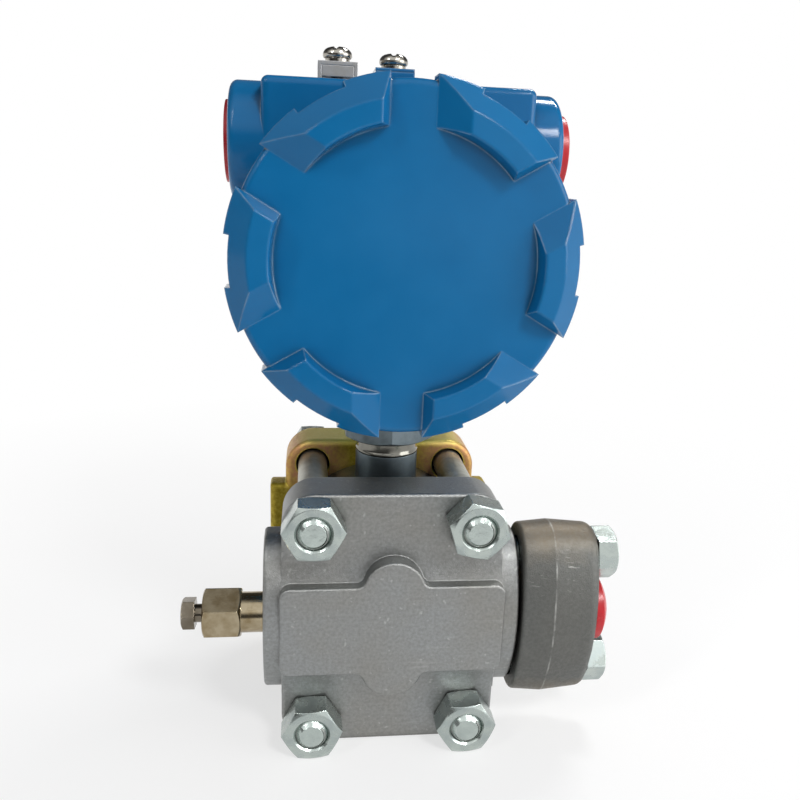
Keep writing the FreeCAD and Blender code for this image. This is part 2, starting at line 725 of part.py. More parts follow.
def add_ports(body):
    """Process port at the flange's right end, vent port at its left, and a drop from each to the chamber."""
    name = body.Name
    port = sketch_on(body, name + "_port_circle", "YZ_Plane", "barrel_half")
    circle(port, "0", "port_out", "port_radius")
    pocket(body, name + "_port", port, "port_length")
    vent = sketch_on(body, name + "_vent_circle", "YZ_Plane", "-barrel_half")
    circle(vent, "0", "port_out", "vent_thread_radius")
    pocket(body, name + "_vent_thread", vent, "vent_thread_depth", along=True)
    passage = sketch_on(body, name + "_passage_circle", "YZ_Plane", "-barrel_half")
    circle(passage, "0", "port_out", "vent_passage_radius")
    pocket(body, name + "_vent_passage", passage, "port_length", along=True)
    drops = sketch_on(body, name + "_drop_circles", "XY_Plane")
    circle(drops, "-port_reach", "0", "port_drop_radius")
    circle(drops, "port_reach", "0", "port_drop_radius")
    pocket(body, name + "_drops", drops, "port_out", along=True)


def make_flanges():
    front = flange_casting("front_flange", at(0, -INNER, AXIS, "-Y"))
    add_ports(front)
    flange_casting("rear_flange", at(0, INNER, AXIS, "+Y"))


# Each nut and bolt head came to rest at its own angle.
NUT_TURNS = {(-1, 1): 0.0, (1, 1): -13.0, (-1, -1): 3.0, (1, -1): 4.0}
ADAPTER_HEAD_TURNS = {-1: -2.0, 1: 12.0}
VENT_HEX_TURN = 30.0
STEM_HEAD_TURN = 12.0
# This turn brings a corner of a hexagon to where a flat was.
HALF_FLAT = 30.0


def make_flange_bolts():
    bolts = []
    nuts = []
    end = VALUES["plate_front"] - VALUES["bolt_length"] - VALUES["middle_y"]

    def far_front(edge):
        return near(edge.BoundBox.YMin, end) and near(edge.BoundBox.YMax, end)
    for (across, up), turn in NUT_TURNS.items():
        tag = "_%d" % (len(bolts) + 1)
        x = across * VALUES["bolt_across"]
        z = AXIS + up * VALUES["bolt_up"]
        back = VALUES["plate_front"]
        rod = cylinder("bolt_rod" + tag, "bolt_radius", "bolt_length", at(x, back, z, "-Y"))
        shank = chamfered("bolt_shank" + tag, rod, "bolt_end_chamfer", far_front)
        head = hexagon("bolt_head" + tag, "bolt_head_flats", "bolt_head_height",
                       at(x, back, z, "+Y"), (False, True))
        bolts.append(fuse("flange_bolt" + tag, shank, head))
        seat = at(x, -back, z, "-Y", turn)
        blank = hexagon("nut_blank" + tag, "nut_flats", "nut_height", seat)
        bore = cylinder("nut_bore" + tag, "nut_bore_radius", "nut_height", seat)
        mouth = cone("nut_mouth" + tag, "nut_mouth_radius", "nut_bore_radius", "nut_countersink",
                     at(x, -back - VALUES["nut_height"], z, "+Y"))
        nuts.append(cut("flange_nut" + tag, blank, bore, mouth))
    group("flange_bolts", bolts)
    group("flange_nuts", nuts)


def make_module():
    disc = cylinder("module_disc", "module_radius", "module_thickness", at(0, -INNER, AXIS, "+Y"))
    neck = cylinder("module_neck", "neck_radius", "neck_length", at(0, 0, AXIS))
    blank = fuse("module_blank", disc, neck)
    tools = []
    for side, sign, inward in (("front", -1, "+Y"), ("rear", 1, "-Y")):
        face = at(0, sign * INNER, AXIS, inward)
        tools.append(cylinder("recess_" + side, "diaphragm_recess_radius", "diaphragm_recess", face))
        outer = cylinder("groove_outer_" + side, "flange_groove_outer", "seal_groove_deep", face)
        core = cylinder("groove_core_" + side, "flange_groove_inner", "seal_groove_deep", face)
        tools.append(cut("groove_" + side, outer, core))
        floor = sign * (INNER - VALUES["diaphragm_recess"])
        outward = "-Y" if sign < 0 else "+Y"
        cylinder("isolating_diaphragm_" + side, "diaphragm_radius", "diaphragm_thickness",
                 at(0, floor, AXIS, outward))
        middle = sign * (INNER - VALUES["seal_groove_deep"] / 2)
        ring("flange_seal_" + side, "flange_seal_radius", "flange_seal_wire", at(0, middle, AXIS, outward))
    cut("sensor_module", blank, *tools)


def make_neck():
    base = at(0, 0, VALUES["neck_top"])
    wall = cylinder("nipple_wall", "nipple_radius", "nipple_length", base)
    way = cylinder("nipple_way", "nipple_bore_radius", "nipple_length", base)
    cut("threaded_nipple", wall, way)
    # One corner of the nut faces the front.
    seat = at(0, 0, VALUES["lock_nut_bottom"], "+Z", HALF_FLAT)
    blank = hexagon("lock_nut_blank", "lock_nut_flats", "lock_nut_height", seat)
    bore = cylinder("lock_nut_bore", "nipple_hole_radius", "lock_nut_height", seat)
    cut("lock_nut", blank, bore)


def make_housing():
    axis = VALUES["housing_axis_height"]
    front = -VALUES["housing_front"]
    rear = VALUES["housing_rear"]
    setback = VALUES["conduit_setback"]
    high = VALUES["conduit_height"]
    end = VALUES["conduit_end"]
    shell = cylinder("housing_shell", "housing_radius", "housing_length", at(0, front, axis, "+Y"))
    block_box = box("housing_block_box", "block_width", "block_depth", "block_height", at(0, setback, axis))
    low = VALUES["block_top"] - VALUES["block_edge"]
    block = rounded("housing_block", block_box, "block_edge", lambda edge: edge.BoundBox.ZMax > low)
    boss_bar = cylinder("conduit_boss_bar", "conduit_boss_radius", "conduit_boss_span",
                        at(-end, setback, high, "+X"))
    boss = rounded("conduit_bosses", boss_bar, "conduit_boss_edge",
                   lambda edge: edge.BoundBox.XLength < TOUCH)
    neck = cylinder("neck_boss", "neck_boss_radius", "neck_boss_length", at(0, 0, VALUES["housing_bottom"]))
    tag_x = VALUES["tag_screw_across"]
    tag_boss = box("tag_boss", "tag_boss_size", "tag_boss_size", "tag_boss_height",
                   at(-tag_x, setback, axis))
    solid = fuse("housing_solid", shell, block, boss, neck, tag_boss)

    tools = [
        cylinder("front_bore", "housing_bore_radius", "front_bore_depth", at(0, front, axis, "+Y")),
        cylinder("front_thread", "thread_radius", "thread_depth", at(0, front, axis, "+Y")),
        cylinder("rear_bore", "housing_bore_radius", "rear_bore_depth", at(0, rear, axis, "-Y")),
        cylinder("rear_thread", "thread_radius", "thread_depth", at(0, rear, axis, "-Y")),
        cylinder("nipple_hole", "nipple_hole_radius", "nipple_hole_depth",
                 at(0, 0, VALUES["housing_bottom"])),
        cylinder("neck_way", "neck_way_radius", "neck_boss_length",
                 at(0, -VALUES["neck_way_forward"], VALUES["housing_bottom"])),
    ]
    way_setback = VALUES["wire_way_setback"]
    for side, sign, inward in (("left", -1, "+X"), ("right", 1, "-X")):
        mouth = at(sign * end, setback, high, inward)
        tools.append(cylinder("conduit_thread_" + side, "conduit_radius", "conduit_thread_depth", mouth))
        start = sign * VALUES["wire_way_length"]
        tools.append(cylinder("wire_way_" + side, "wire_way_radius", "conduit_thread_depth",
                              at(start, way_setback, high, inward)))
    for side, x in feedthrough_places().items():
        tools.append(cylinder("feedthrough_hole_" + side, "feedthrough_radius", "partition_thickness",
                              at(x, VALUES["partition_front"], axis, "+Y")))
    for name, (x, top) in screw_tops().items():
        floor = top - VALUES["screw_shank_length"] - VALUES["seat_gap"]
        tools.append(cylinder(name + "_hole", "screw_hole_radius", "screw_shank_length",
                              at(x, setback, floor)))
    cut("electronics_housing", solid, *tools)


def feedthrough_places():
    """Where each sealed pin passes the partition: its X."""
    step = VALUES["feedthrough_spacing"]
    return {"left": -step, "middle": 0.0, "right": step}


def screw_tops():
    """Where each top screw's head sits: its X and the height of the washer's upper face."""
    washer = VALUES["washer_thickness"]
    clamp = VALUES["block_top"] + VALUES["clamp_height"]
    tag = VALUES["tag_boss_top"] + VALUES["tag_thickness"]
    return {
        "ground_screw": (-VALUES["ground_screw_across"], clamp + washer),
        "tag_screw": (-VALUES["tag_screw_across"], tag + washer),
    }


def make_top_fittings():
    setback = VALUES["conduit_setback"]
    washers = []
    for name, (x, top) in screw_tops().items():
        seat = at(x, setback, top)
        head_blank = cylinder(name + "_head_blank", "screw_head_radius", "screw_head_height", seat)
        head = rounded(name + "_head", head_blank, "screw_head_round",
                       level_at(top + VALUES["screw_head_height"]))
        below = at(x, setback, top - VALUES["screw_shank_length"])
        shank = cylinder(name + "_shank", "screw_shank_radius", "screw_shank_length", below)
        solid = fuse(name + "_solid", head, shank)
        slot_floor = at(x, setback, top + VALUES["screw_head_height"] - VALUES["screw_slot_depth"])
        slots = [
            box(name + "_slot_x", "screw_head_diameter", "screw_slot_width", "screw_head_height", slot_floor),
            box(name + "_slot_y", "screw_slot_width", "screw_head_diameter", "screw_head_height", slot_floor),
        ]
        cut(name, solid, *slots)
        low = at(x, setback, top - VALUES["washer_thickness"])
        disc = cylinder(name + "_washer_disc", "washer_radius", "washer_thickness", low)
        hole = cylinder(name + "_washer_hole", "screw_hole_radius", "washer_thickness", low)
        washers.append(cut(name + "_washer", disc, hole))
    group("screw_washers", washers)

    x, top = screw_tops()["ground_screw"]
    base = at(x, setback, VALUES["block_top"])
    saddle = box("clamp_saddle", "clamp_width", "clamp_depth", "clamp_height", base)
    inside = box("clamp_inside", "clamp_inside_width", "clamp_depth", "clamp_inside_height", base)
    hole = cylinder("clamp_hole", "screw_hole_radius", "clamp_height", base)
    cut("ground_clamp", saddle, inside, hole)
    below = at(x, setback, VALUES["block_top"] + VALUES["clamp_height"] - VALUES["clamp_plate_drop"])
    slab = box("clamp_plate_slab", "clamp_plate_width", "clamp_depth", "clamp_plate_thickness", below)
    way = cylinder("clamp_plate_hole", "screw_hole_radius", "clamp_plate_thickness", below)
    cut("clamp_plate", slab, way)
    x, top = screw_tops()["tag_screw"]
    base = at(x, setback, VALUES["tag_boss_top"])
    plate = box("tag_plate_blank", "clamp_width", "clamp_depth", "tag_thickness", base)
    hole = cylinder("tag_plate_hole", "screw_hole_radius", "tag_thickness", base)
    cut("tag_plate", plate, hole)


def make_cover(name, place):
    """Screw-on cap; its own Z axis points outward and its seat lies on Z = 0. Six lugs stand on the face,
    each with a ramp at one end, a steep end, a sloped outside and a shallow notch in the outer edge."""
    body = new_body(name)
    section = sketch_on(body, name + "_lug_section", "XZ_Plane")
    outline(section, [
        ("lug_foot_radius", "lug_root"),
        ("cover_edge_radius", "lug_root"),
        ("cover_edge_radius", "lug_skirt_foot"),
        ("lug_radius", "lug_skirt_foot"),
        ("lug_radius", "cover_face"),
        ("lug_ridge_radius", "lug_top"),
        ("lug_inner_radius", "lug_top"),
        ("lug_foot_radius", "cover_face"),
    ])
    revolve(body, name + "_lug_ring", section)
    gap_section = sketch_on(body, name + "_gap_section", "XZ_Plane", "-gap_start")
    outline(gap_section, [
        ("-lug_steep_foot", "0"),
        ("lug_steep_foot", "0"),
        ("lug_steep_foot", "cover_face"),
        ("lug_ramp_top", "lug_top"),
        ("-lug_steep_top", "lug_top"),
        ("-lug_steep_foot", "cover_face"),
    ])
    gap = pocket(body, name + "_gap", gap_section, "gap_length")
    half_turn = -180.0 / VALUES["lug_count"]
    notch_section = sketch_on(body, name + "_notch_section", "XY_Plane", "lug_top", half_turn)
    outline(notch_section, [
        ("notch_inner_across", "notch_inner_up"),
        ("notch_outer_across", "notch_outer_up", "notch_outer_radius", 1),
        ("-notch_outer_across", "notch_outer_up"),
        ("-notch_inner_across", "notch_inner_up", "cover_radius", -1),
    ])
    notch = pocket(body, name + "_notch", notch_section, "notch_depth")
    pattern = body.newObject("PartDesign::PolarPattern", name + "_lugs")
    pattern.Originals = [gap, notch]
    pattern.Axis = (origin_item(body, "Z_Axis"), [""])
    pattern.Angle = 360.0
    pattern.Occurrences = int(VALUES["lug_count"])
    body.Tip = pattern
    cap_section = sketch_on(body, name + "_cap_section", "XZ_Plane")
    outline(cap_section, [
        ("0", "cover_inside"),
        ("cover_cavity_radius", "cover_inside"),
        ("cover_cavity_radius", "-skirt_length"),
        ("skirt_radius", "-skirt_length"),
        ("skirt_radius", "-seal_groove_length"),
        ("seal_floor_radius", "-seal_groove_length"),
        ("seal_floor_radius", "0"),
        ("cover_radius", "0"),
        ("cover_radius", "cover_edge_foot", "cover_edge", 1),
        ("cover_edge_radius", "cover_face"),
        ("0", "cover_face"),
    ])
    revolve(body, name + "_cap", cap_section)
    round_edges(body, name + "_lug_edges", "lug_fillet", level_at(VALUES["lug_top"]))
    body.Placement = place


def make_covers():
    axis = VALUES["housing_axis_height"]
    groove = VALUES["seal_groove_length"] / 2
    front = -VALUES["housing_front"]
    rear = VALUES["housing_rear"]
    sides = (("front", front, front + groove, "-Y"), ("rear", rear, rear - groove, "+Y"))
    for side, seat, inside, outward in sides:
        make_cover(side + "_cover", at(0, seat, axis, outward))
        ring(side + "_cover_seal", "cover_seal_radius", "cover_seal_wire", at(0, inside, axis, outward))


def make_adapter():
    """Forged adapter on the front flange's right end, drafted both ways from its parting line."""
    y = -VALUES["port_spacing"] / 2
    body = new_body("flange_adapter")
    section = sketch_on(body, "adapter_outline", "XY_Plane")
    outline(section, [
        ("adapter_tangent_across", "-adapter_tangent_up", "adapter_side_radius", 1),
        ("adapter_tangent_across", "adapter_tangent_up", "adapter_tip_radius", 1),
        ("-adapter_tangent_across", "adapter_tangent_up", "adapter_side_radius", 1),
        ("-adapter_tangent_across", "-adapter_tangent_up", "adapter_tip_radius", 1),
    ])
    forging = pad(body, "adapter_forging", section, "adapter_outward")
    forging.SideType = "Two sides"
    bind(forging, Length2="adapter_parting")
    forging.setExpression("TaperAngle", "-Sheet.adapter_draft")
    forging.setExpression("TaperAngle2", "-Sheet.adapter_draft")
    round_edges(body, "adapter_rim", "adapter_edge", level_at(VALUES["adapter_outward"]))
    round_edges(body, "adapter_seat_rim", "adapter_seat_edge", level_at(-VALUES["adapter_parting"]))
    holes = sketch_on(body, "adapter_bolt_circles", "XY_Plane", "adapter_outward")
    circle(holes, "0", "-adapter_bolt_up", "bolt_hole_radius")
    circle(holes, "0", "adapter_bolt_up", "bolt_hole_radius")
    pocket(body, "adapter_bolt_holes", holes, "adapter_thickness")
    port = sketch_on(body, "adapter_port_circle", "XY_Plane", "adapter_outward")
    circle(port, "0", "0", "adapter_port_radius")
    pocket(body, "adapter_port_thread", port, "adapter_port_depth")
    way = sketch_on(body, "adapter_way_circle", "XY_Plane", "adapter_outward")
    circle(way, "0", "0", "port_radius")
    pocket(body, "adapter_way", way, "adapter_thickness")
    groove = sketch_on(body, "adapter_groove_circle", "XY_Plane", "-adapter_parting")
    circle(groove, "0", "0", "adapter_groove_outer")
    pocket(body, "adapter_groove", groove, "adapter_groove_deep", along=True)
    body.Placement = at(VALUES["adapter_seat"] + VALUES["adapter_parting"], y, AXIS, "+X")

    seal_place = at(VALUES["adapter_seal_place"], y, AXIS, "+X")
    ring("adapter_seal", "adapter_seal_radius", "adapter_seal_wire", seal_place)
    bolts = []
    for sign, turn in ADAPTER_HEAD_TURNS.items():
        tag = "_%d" % (len(bolts) + 1)
        z = AXIS + sign * VALUES["adapter_bolt_up"]
        outer_x = VALUES["adapter_outer"]
        shank = cylinder("adapter_shank" + tag, "adapter_bolt_radius", "adapter_bolt_length",
                         at(outer_x, y, z, "-X"))
        head = hexagon("adapter_head" + tag, "adapter_bolt_flats", "adapter_bolt_head",
                       at(outer_x, y, z, "+X", turn), (False, True))
        bolts.append(fuse("adapter_bolt" + tag, shank, head))
    group("adapter_bolts", bolts)


def make_process_plug():
    """Push-in protective plug with a domed head."""
    body = new_body("process_plug")
    section = sketch_on(body, "plug_section", "XZ_Plane")
    outline(section, [
        ("0", "-plug_depth"),
        ("process_plug_radius", "-plug_depth"),
        ("process_plug_radius", "0"),
        ("dome_radius", "0"),
        ("dome_radius", "dome_rim", "dome_sphere", 1),
        ("0", "dome_height"),
    ])
    revolve(body, "plug_solid", section)
    body.Placement = at(VALUES["adapter_outer"], -VALUES["port_spacing"] / 2, AXIS, "+X")


def make_vent():
    y = -VALUES["port_spacing"] / 2
    end = -VALUES["vent_end"]
    start = at(end, y, AXIS, "+X")
    hexed = hexagon("vent_hex", "vent_hex_flats", "vent_hex_length", at(end, y, AXIS, "+X", VENT_HEX_TURN))
    collar = cylinder("vent_collar", "vent_collar_radius", "vent_collar_length",
                      at(end + VALUES["vent_hex_length"], y, AXIS, "+X"))
    tail = cylinder("vent_tail", "vent_tail_radius", "vent_tail_length",
                    at(-VALUES["barrel_half"], y, AXIS, "+X"))
    solid = fuse("vent_solid", hexed, collar, tail)
    bore = cylinder("vent_stem_bore", "stem_bore_radius", "stem_bore_depth", start)
    way = cylinder("vent_way", "vent_passage_radius", "vent_length", start)
    cut("vent_valve_body", solid, bore, way)
    shank_start = end - VALUES["stem_showing"]
    shank = cylinder("stem_shank", "stem_radius", "stem_length", at(shank_start, y, AXIS, "+X"))
    head = hexagon("stem_head", "stem_head_flats", "stem_head_height",
                   at(shank_start, y, AXIS, "-X", STEM_HEAD_TURN), (False, True))
    fuse("vent_stem", shank, head)
    ball = DOC.addObject("Part::Sphere", "vent_ball")
    bind(ball, Radius="ball_radius")
    ball.Placement = at(end + VALUES["ball_place"], y, AXIS)


def make_conduit_plugs():
    setback = VALUES["conduit_setback"]
    for side, sign, outward, inward in (("left", -1, "-X", "+X"), ("right", 1, "+X", "-X")):
        x = sign * VALUES["conduit_end"]
        z = VALUES["conduit_height"]
        cap = cylinder("cap_" + side, "cap_radius", "cap_thickness_" + side, at(x, setback, z, outward))
        plug = cylinder("cap_body_" + side, "cap_plug_radius", "cap_plug_depth", at(x, setback, z, inward))
        fuse("conduit_plug_" + side, cap, plug)


POST_ANGLES = (90, 210, 330)


def make_electronics():
    axis = VALUES["housing_axis_height"]
    reach = VALUES["standoff_circle"]
    turns = [math.radians(angle) for angle in POST_ANGLES]
    posts = [(reach * math.cos(turn), reach * math.sin(turn)) for turn in turns]
    standoffs = []
    for board, y, post in (("amplifier_board", VALUES["amplifier_face"], "amplifier_standoff"),
                           ("calibration_board", VALUES["calibration_face"], "board_spacing")):
        disc = cylinder(board + "_disc", "board_radius", "board_thickness", at(0, y, axis, "-Y"))
        holes = []
        for i, (x, z) in enumerate(posts):
            tag = "_%d" % (i + 1)
            holes.append(cylinder(board + "_hole" + tag, "standoff_hole", "board_thickness",
                                  at(x, y, axis + z, "-Y")))
            wall = cylinder(board + "_post" + tag, "standoff_radius", post, at(x, y, axis + z, "+Y"))
            core = cylinder(board + "_core" + tag, "standoff_hole", post, at(x, y, axis + z, "+Y"))
            standoffs.append(cut(board + "_standoff" + tag, wall, core))
        cut(board, disc, *holes)
    group("board_standoffs", standoffs)
    box("board_connector", "header_width", "header_depth", "board_spacing",
        at(0, VALUES["calibration_face"], axis - VALUES["header_drop"], "+Y"))

    pins = []
    for side, x in feedthrough_places().items():
        pins.append(cylinder("feedthrough_" + side, "feedthrough_pin_radius", "partition_thickness",
                             at(x, VALUES["partition_front"], axis, "+Y")))
    group("feedthroughs", pins)

    rear = VALUES["partition_rear"]
    disc = cylinder("terminal_disc", "terminal_radius", "terminal_thickness", at(0, rear, axis, "+Y"))
    face = rear + VALUES["terminal_thickness"]
    ways = int(VALUES["terminal_ways"])
    first = -ways / 2 * VALUES["terminal_pitch"]
    ribs = []
    for i in range(ways + 1):
        x = first + i * VALUES["terminal_pitch"]
        ribs.append(box("barrier_%d" % (i + 1), "barrier_thickness", "barrier_length", "barrier_height",
                        at(x, face, axis, "+Y")))
    fuse("terminal_block", disc, *ribs)
    screws = []
    for i in range(ways):
        for up in BOTH:
            x = first + (i + 0.5) * VALUES["terminal_pitch"]
            z = axis + up * VALUES["terminal_row"]
            screws.append(cylinder("terminal_screw_%d" % (len(screws) + 1), "terminal_screw_radius",
                                   "terminal_screw_height", at(x, face, z, "+Y")))
    group("terminal_screws", screws)


NODES = [
    "front_flange", "rear_flange", "flange_bolts", "flange_nuts", "sensor_module",
    "isolating_diaphragm_front", "isolating_diaphragm_rear", "flange_seal_front", "flange_seal_rear",
    "threaded_nipple", "lock_nut", "electronics_housing", "front_cover", "front_cover_seal",
    "rear_cover", "rear_cover_seal", "conduit_plug_left", "conduit_plug_right",
    "ground_screw", "ground_clamp", "clamp_plate", "tag_screw", "tag_plate", "screw_washers",
    "flange_adapter", "adapter_seal", "adapter_bolts", "process_plug",
    "vent_valve_body", "vent_stem", "vent_ball",
    "amplifier_board", "calibration_board", "board_standoffs", "board_connector",
    "feedthroughs", "terminal_block", "terminal_screws",
]


def check_and_write():
    DOC.recompute()
    faults = [item.Name for item in DOC.Objects if "Invalid" in item.State or "Error" in item.State]
    if faults:
        raise RuntimeError("failed objects: " + ", ".join(faults))
    for name in NODES:
        shape = DOC.getObject(name).Shape
        if shape.isNull() or not shape.isValid() or shape.Volume <= 0:
            raise RuntimeError("bad shape: " + name)
    os.makedirs("parts", exist_ok=True)
    for name in NODES:
        item = DOC.getObject(name)
        item.Shape.exportStep("parts/%s.step" % item.Label)
        print(item.Label, len(item.Shape.Solids), round(item.Shape.Volume, 1))


fill_sheet()
make_flanges()
make_flange_bolts()
make_module()
make_neck()
make_housing()
make_covers()
make_top_fittings()
make_adapter()
make_process_plug()
make_vent()
make_conduit_plugs()
make_electronics()
check_and_write()
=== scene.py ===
# %% [markdown]
# # Dressing an absolute pressure transmitter
#
# The construction comes in as a fixed frame: flanges, bolts, sensor neck, housing and covers, each at its
# real size. In this lesson the frame gets its looks. We set up a camera and a plain studio, build a few
# shared effects as node groups, mix one finish for each kind of surface, and model the fine things that the
# construction leaves out.
#
# Every length is in metres, and the part's own frame is used throughout: +X to the right, -Y to the viewer,
# +Z up.

# %% Load the frame
import math

import bmesh
import bpy
from mathutils import Matrix, Vector


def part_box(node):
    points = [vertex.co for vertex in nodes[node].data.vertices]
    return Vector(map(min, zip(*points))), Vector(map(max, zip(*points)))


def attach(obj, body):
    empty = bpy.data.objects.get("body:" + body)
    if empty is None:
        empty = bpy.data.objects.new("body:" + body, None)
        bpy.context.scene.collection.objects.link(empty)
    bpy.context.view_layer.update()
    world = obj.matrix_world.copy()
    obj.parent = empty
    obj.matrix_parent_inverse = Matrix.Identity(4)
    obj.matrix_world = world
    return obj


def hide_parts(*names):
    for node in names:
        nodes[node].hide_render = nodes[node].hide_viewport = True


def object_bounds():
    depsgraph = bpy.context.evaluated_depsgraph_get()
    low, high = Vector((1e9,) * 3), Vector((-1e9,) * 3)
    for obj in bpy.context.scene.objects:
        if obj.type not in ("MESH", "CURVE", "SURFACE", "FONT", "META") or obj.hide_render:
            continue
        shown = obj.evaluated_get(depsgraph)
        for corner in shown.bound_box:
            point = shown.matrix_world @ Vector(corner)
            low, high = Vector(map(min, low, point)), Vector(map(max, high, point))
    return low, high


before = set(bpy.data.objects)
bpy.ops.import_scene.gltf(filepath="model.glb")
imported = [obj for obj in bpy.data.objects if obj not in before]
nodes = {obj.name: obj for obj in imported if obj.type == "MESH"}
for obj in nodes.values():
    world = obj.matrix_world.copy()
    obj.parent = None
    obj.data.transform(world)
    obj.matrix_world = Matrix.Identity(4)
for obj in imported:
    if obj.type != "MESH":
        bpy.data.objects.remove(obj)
cad_low, cad_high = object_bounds()
MM = 0.001

# %% [markdown]
# Many pieces share a few centre lines: the upright neck, the lying barrel of the flanges and the housing's
# bore. Reading them from the frame's boxes, instead of typing them in, keeps each new piece on the part it
# belongs to.

# %% Read the main centre lines


def middle(node):
    """Returns the middle of a node's box."""
    low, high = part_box(node)
    return (low + high) / 2


neck_axis = middle("threaded_nipple")
barrel_axis = middle("front_flange")
adapter_axis = middle("flange_adapter")
print("neck axis", neck_axis, "barrel axis", barrel_axis, "adapter axis", adapter_axis)

# %% [markdown]
# ## Camera
#
# The photograph was taken from close by, a little to the left and above, so near things look larger than
# far ones. A long lens would flatten that. The camera's turn and place were worked out from known sizes on
# the object, and are given here from the neck's axis and the barrel's height.

# %% Set up the camera
PHOTO_WIDTH_PX = 800
FOCAL_PX = 788.6
SENSOR_WIDTH = 36.0
YAW = math.radians(7.065)
PITCH = math.radians(15.708)
ROLL = math.radians(2.334)
NEAREST_SEEN = 10 * MM
CAMERA_OFFSET = Vector((-29.379, -271.778, 145.347)) * MM

forward = Vector((math.sin(YAW) * math.cos(PITCH), math.cos(YAW) * math.cos(PITCH), -math.sin(PITCH)))
level_right = Vector((math.cos(YAW), -math.sin(YAW), 0.0))
level_up = level_right.cross(forward)
right = level_right * math.cos(ROLL) + level_up * math.sin(ROLL)
up = level_up * math.cos(ROLL) - level_right * math.sin(ROLL)

camera_data = bpy.data.cameras.new("photo_camera")
camera_data.sensor_width = SENSOR_WIDTH
camera_data.lens = FOCAL_PX / PHOTO_WIDTH_PX * SENSOR_WIDTH
camera_data.clip_start = NEAREST_SEEN
camera = bpy.data.objects.new("photo_camera", camera_data)
bpy.context.scene.collection.objects.link(camera)
turn = Matrix((right, up, -forward)).transposed().to_4x4()
place = Vector((neck_axis.x, neck_axis.y, barrel_axis.z)) + CAMERA_OFFSET
camera.matrix_world = Matrix.Translation(place) @ turn
bpy.context.scene.camera = camera
bpy.context.scene.view_settings.view_transform = "Standard"
print("camera at", place, "lens", round(camera_data.lens, 2))

# %% [markdown]
# ## Studio
#
# The studio and every finish are small networks of nodes. A few helpers keep them short: each adds one
# node, wires it up and hands back its output, so that a network reads like a sum.

# %% Wire up nodes


def add(tree, kind, **sockets):
    """Adds a node and sets the named input sockets."""
    node = tree.nodes.new(kind)
    for name, value in sockets.items():
        node.inputs[name.replace("_", " ")].default_value = value
    return node


def ramp(tree, source, stops):
    """Adds a colour ramp with stops of (position, colour), and returns its colour."""
    node = tree.nodes.new("ShaderNodeValToRGB")
    points = node.color_ramp.elements
    while len(points) < len(stops):
        points.new(0.5)
    for point, (position, colour) in zip(points, stops):
        point.position = position
        point.color = (*colour, 1.0)
    tree.links.new(source, node.inputs["Fac"])
    return node.outputs["Color"]


def grey(level):
    """Returns a grey colour."""
    return (level, level, level)


def fade(tree, source, start, end, low=0.0, high=1.0):
    """Adds a ramp from one grey level to another, between two values of its source."""
    return ramp(tree, source, [(start, grey(low)), (end, grey(high))])


def maths(tree, operation, *terms):
    """Adds one sum; a term is a number or another node's output."""
    node = tree.nodes.new("ShaderNodeMath")
    node.operation = operation
    for socket, term in zip(node.inputs, terms):
        if isinstance(term, bpy.types.NodeSocket):
            tree.links.new(term, socket)
        else:
            socket.default_value = term
    return node.outputs[0]


def blend(tree, share, first, second):
    """Mixes two colours; each is a colour or another node's output."""
    node = tree.nodes.new("ShaderNodeMix")
    node.data_type = "RGBA"
    tree.links.new(share, node.inputs[0])
    for socket, colour in ((node.inputs[6], first), (node.inputs[7], second)):
        if isinstance(colour, bpy.types.NodeSocket):
            tree.links.new(colour, socket)
        else:
            socket.default_value = (*colour, 1.0)
    return node.outputs[2]


def seen_rays(tree):
    """Returns 1 for a ray of the camera, of a reflection or through glass."""
    rays = add(tree, "ShaderNodeLightPath")
    seen = maths(tree, "MAXIMUM", rays.outputs["Is Camera Ray"], rays.outputs["Is Glossy Ray"])
    return maths(tree, "MAXIMUM", seen, rays.outputs["Is Transmission Ray"])


def object_place(tree):
    """Returns where a point lies in the object's own coordinates, whole and as X, Y and Z."""
    place = add(tree, "ShaderNodeTexCoord").outputs["Object"]
    parts = add(tree, "ShaderNodeSeparateXYZ")
    tree.links.new(place, parts.inputs["Vector"])
    return place, parts.outputs


print("helpers for nodes: add, ramp, grey, fade, maths, blend, seen_rays, object_place")

# %% [markdown]
# Bare metal shows its surroundings more than its own colour. In the photograph the front of each nut is
# bright and its upper flats are dark, so the room was bright low down behind the object, overhead and at
# the right, and dim at the left and high up behind. The world below does the same for whatever mirrors it.
# The camera sees plain white all round. Diffuse light gets a level of its own, higher behind, where no lamp
# stands, so that a colour renders about as it is written from any side.

# %% Light the studio
FILL_RIGHT, FILL_LEFT, FILL_BEHIND = 0.32, 0.12, 0.55
EYE_LEVEL_STOPS = [(0.40, grey(0.02)), (0.52, grey(0.15)), (0.64, grey(1.1)), (0.80, grey(1.1))]
BACK_STOPS = [(0.0, grey(1.0)), (0.205, grey(1.0)), (0.24, grey(0.15)), (0.6, grey(0.06))]
OVERHEAD_LEVEL = 1.1

world = bpy.data.worlds.new("studio")
bpy.context.scene.world = world
world.use_nodes = True
tree = world.node_tree
tree.nodes.clear()

